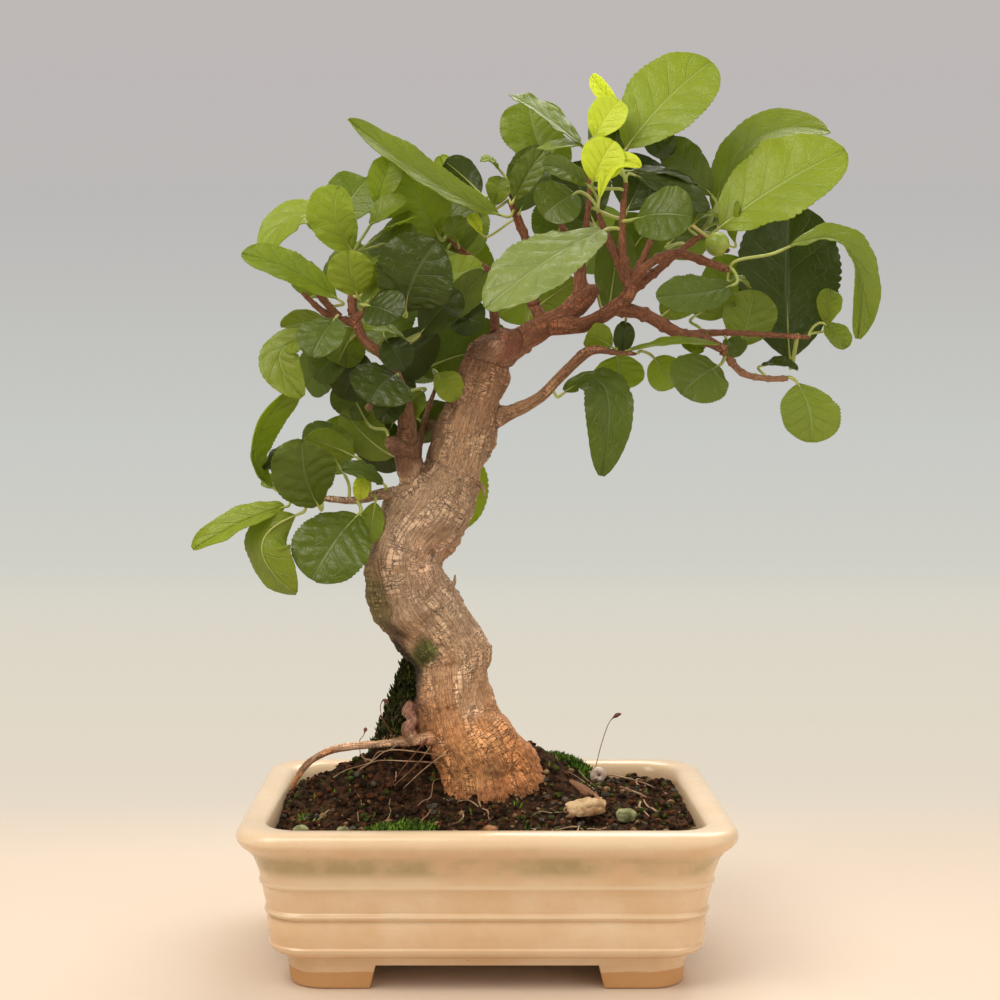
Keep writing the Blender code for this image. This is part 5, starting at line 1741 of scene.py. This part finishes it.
@dataclass
class Berry:
    """The one unripe fruit, with its withered calyx and its stalk."""

    centre: Spot = (76, 230, -16)
    radius: float = 3.9
    stalk: Wood = Wood(((76, 230, -16), (72, 233, -15), (68, 236, -13)), (0.9, 0.6, 0.6))

    def build(self) -> None:
        """Models the berry and hands it over."""
        middle = PLAN.place(self.centre)
        deselect()
        radius = self.radius * MM
        bpy.ops.mesh.primitive_uv_sphere_add(segments=48, ring_count=28, radius=radius, location=middle)
        fruit = bpy.context.object
        for vertex in fruit.data.vertices:
            vertex.co *= 1 + 0.02 * noise.noise(vertex.co * 500)
        fruit.data.materials.append(
            MottledFinish("berry_skin", (0.22, 0.30, 0.035), (0.34, 0.40, 0.06), 0.3, 220.0, 0.00003).material()
        )
        path, radii = self.stalk.line(0.6)
        stalk_skin = MottledFinish("berry_stalk_skin", (0.34, 0.24, 0.06), (0.40, 0.36, 0.10), 0.5, 120.0)
        stalk = rod("stalk", path, radii, 12, stalk_skin.material())
        deselect()
        end = middle + Vector((0.72, -0.45, -0.52)).normalized() * radius
        bpy.ops.mesh.primitive_cone_add(
            vertices=10, radius1=0.9 * MM, radius2=0.25 * MM, depth=0.9 * MM, location=end, rotation=(0.6, -0.9, 0)
        )
        calyx = bpy.context.object
        withered = MottledFinish("calyx", (0.05, 0.03, 0.015), (0.12, 0.07, 0.03), 0.9, 300.0)
        calyx.data.materials.append(withered.material())
        piece = join([settle(fruit), settle(stalk), settle(calyx)], "berry_on_stalk")
        hand_over(piece, ("berry",))


# ============================================================================ the studio
@dataclass
class Studio:
    """A pale floor and backdrop, soft lights and the camera."""

    lens: float = 61.8
    shift: tuple[float, float] = (0.034, -0.085)

    def build(self) -> None:
        """Sets everything round the tree."""
        self.floor()
        self.lights()
        self.camera()

    def floor(self) -> None:
        """The floor, run up into a backdrop whose painted glow dims and cools towards the top."""
        deselect()
        bpy.ops.mesh.primitive_plane_add(size=1, location=PLAN.at(0, 0, -0.05))
        sweep = bpy.context.object
        sweep.name = "floor_and_backdrop"
        sweep.scale = (4.0, 2.2, 1)
        apply_scale()
        for vertex in sweep.data.vertices:
            vertex.co.y += 0.2
        bpy.ops.object.mode_set(mode="EDIT")
        bpy.ops.mesh.select_mode(type="EDGE")
        bpy.ops.mesh.select_all(action="DESELECT")
        bpy.ops.object.mode_set(mode="OBJECT")
        for edge in sweep.data.edges:
            edge.select = all(sweep.data.vertices[index].co.y > 0 for index in edge.vertices)
        bpy.ops.object.mode_set(mode="EDIT")
        for step in range(8):
            angle = math.radians(90 * (step + 0.5) / 8)
            move = Vector((0, math.cos(angle), math.sin(angle))) * 0.08
            extrude(move)
        extrude((0, 0, 2.4))
        bpy.ops.object.mode_set(mode="OBJECT")
        bpy.ops.object.shade_smooth()
        sweep.data.materials.append(self.paper())

    def paper(self) -> bpy.types.Material:
        """Matt pale paper near the pot, and behind it a backdrop that glows by itself, its painted light dimming
        and cooling upwards.
        """
        recipe = Recipe("studio_paper")
        place = recipe.node("SeparateXYZ", Vector=recipe.coordinates("Object"))
        run = recipe.plus(place.outputs["Y"], place.outputs["Z"])
        share = recipe.times(run, 0.4)
        # Painted light: the backdrop's own glow, brighter low down, dimmer and cooler higher up.
        lit = recipe.ramp(
            share,
            (0.06, (0.80, 0.70, 0.58)), (0.17, (0.75, 0.69, 0.575)), (0.42, (0.69, 0.665, 0.585)),
            (0.71, (0.58, 0.59, 0.56)), (0.87, (0.50, 0.485, 0.475)), (0.97, (0.52, 0.48, 0.475)),
        )
        near = recipe.node("BsdfPrincipled", Base_Color=(0.70, 0.59, 0.49, 1), Roughness=0.9)
        far = recipe.node("Emission", Color=lit, Strength=1.0)
        blend = recipe.span(place.outputs["Y"], 0.09, 0.24)
        return recipe.close(recipe.blend(blend, near, far))

    def lights(self) -> None:
        """A large soft key above and in front, a window's light from behind and a dim all-round sky."""
        for name, place, size, power, colour in (
            ("key", (-320, -330, 640), 0.50, 4.3, (1.0, 0.93, 0.82)),
            ("fill", (420, -300, 300), 0.6, 1.0, (1.0, 0.91, 0.80)),
            ("behind", (160, 380, 620), 0.5, 3.6, (1.0, 0.97, 0.90)),
        ):
            lamp = bpy.data.lights.new(name, "AREA")
            lamp.shape = "SQUARE"
            lamp.size = size
            lamp.energy = power
            lamp.color = colour
            held = bpy.data.objects.new(name, lamp)
            bpy.context.collection.objects.link(held)
            held.location = PLAN.at(*place)
            held.rotation_euler = (PLAN.at(0, 0, 160) - held.location).to_track_quat("-Z", "Y").to_euler()
        world = bpy.data.worlds.new("studio_sky")
        world.use_nodes = True
        world.node_tree.nodes["Background"].inputs["Color"].default_value = (1.0, 0.95, 0.88, 1)
        world.node_tree.nodes["Background"].inputs["Strength"].default_value = 0.42
        bpy.context.scene.world = world

    def camera(self) -> None:
        """The camera at the viewer's eye, held level with its lens shifted."""
        lens = bpy.data.cameras.new("camera")
        lens.lens = self.lens
        lens.sensor_width = 36.0
        lens.clip_start = 0.01
        lens.shift_x, lens.shift_y = self.shift
        lens.dof.use_dof = False
        held = bpy.data.objects.new("camera", lens)
        bpy.context.collection.objects.link(held)
        held.location = PLAN.at(*PLAN.eye)
        held.rotation_euler = (math.radians(90), 0, 0)
        bpy.context.scene.camera = held


def main() -> None:
    """Dresses the frame, piece by piece."""
    logging.basicConfig(level=logging.INFO, format="%(name)s %(message)s")
    soil = Soil()
    Pot().build()
    DrainScreens().build()
    soil.build()
    Moss(soil).build()
    Litter(soil).build()
    TreeWood().build()
    Foliage().build()
    Berry().build()
    Studio().build()
    bpy.context.scene.view_settings.view_transform = "Standard"


if __name__ == "__main__":
    main()
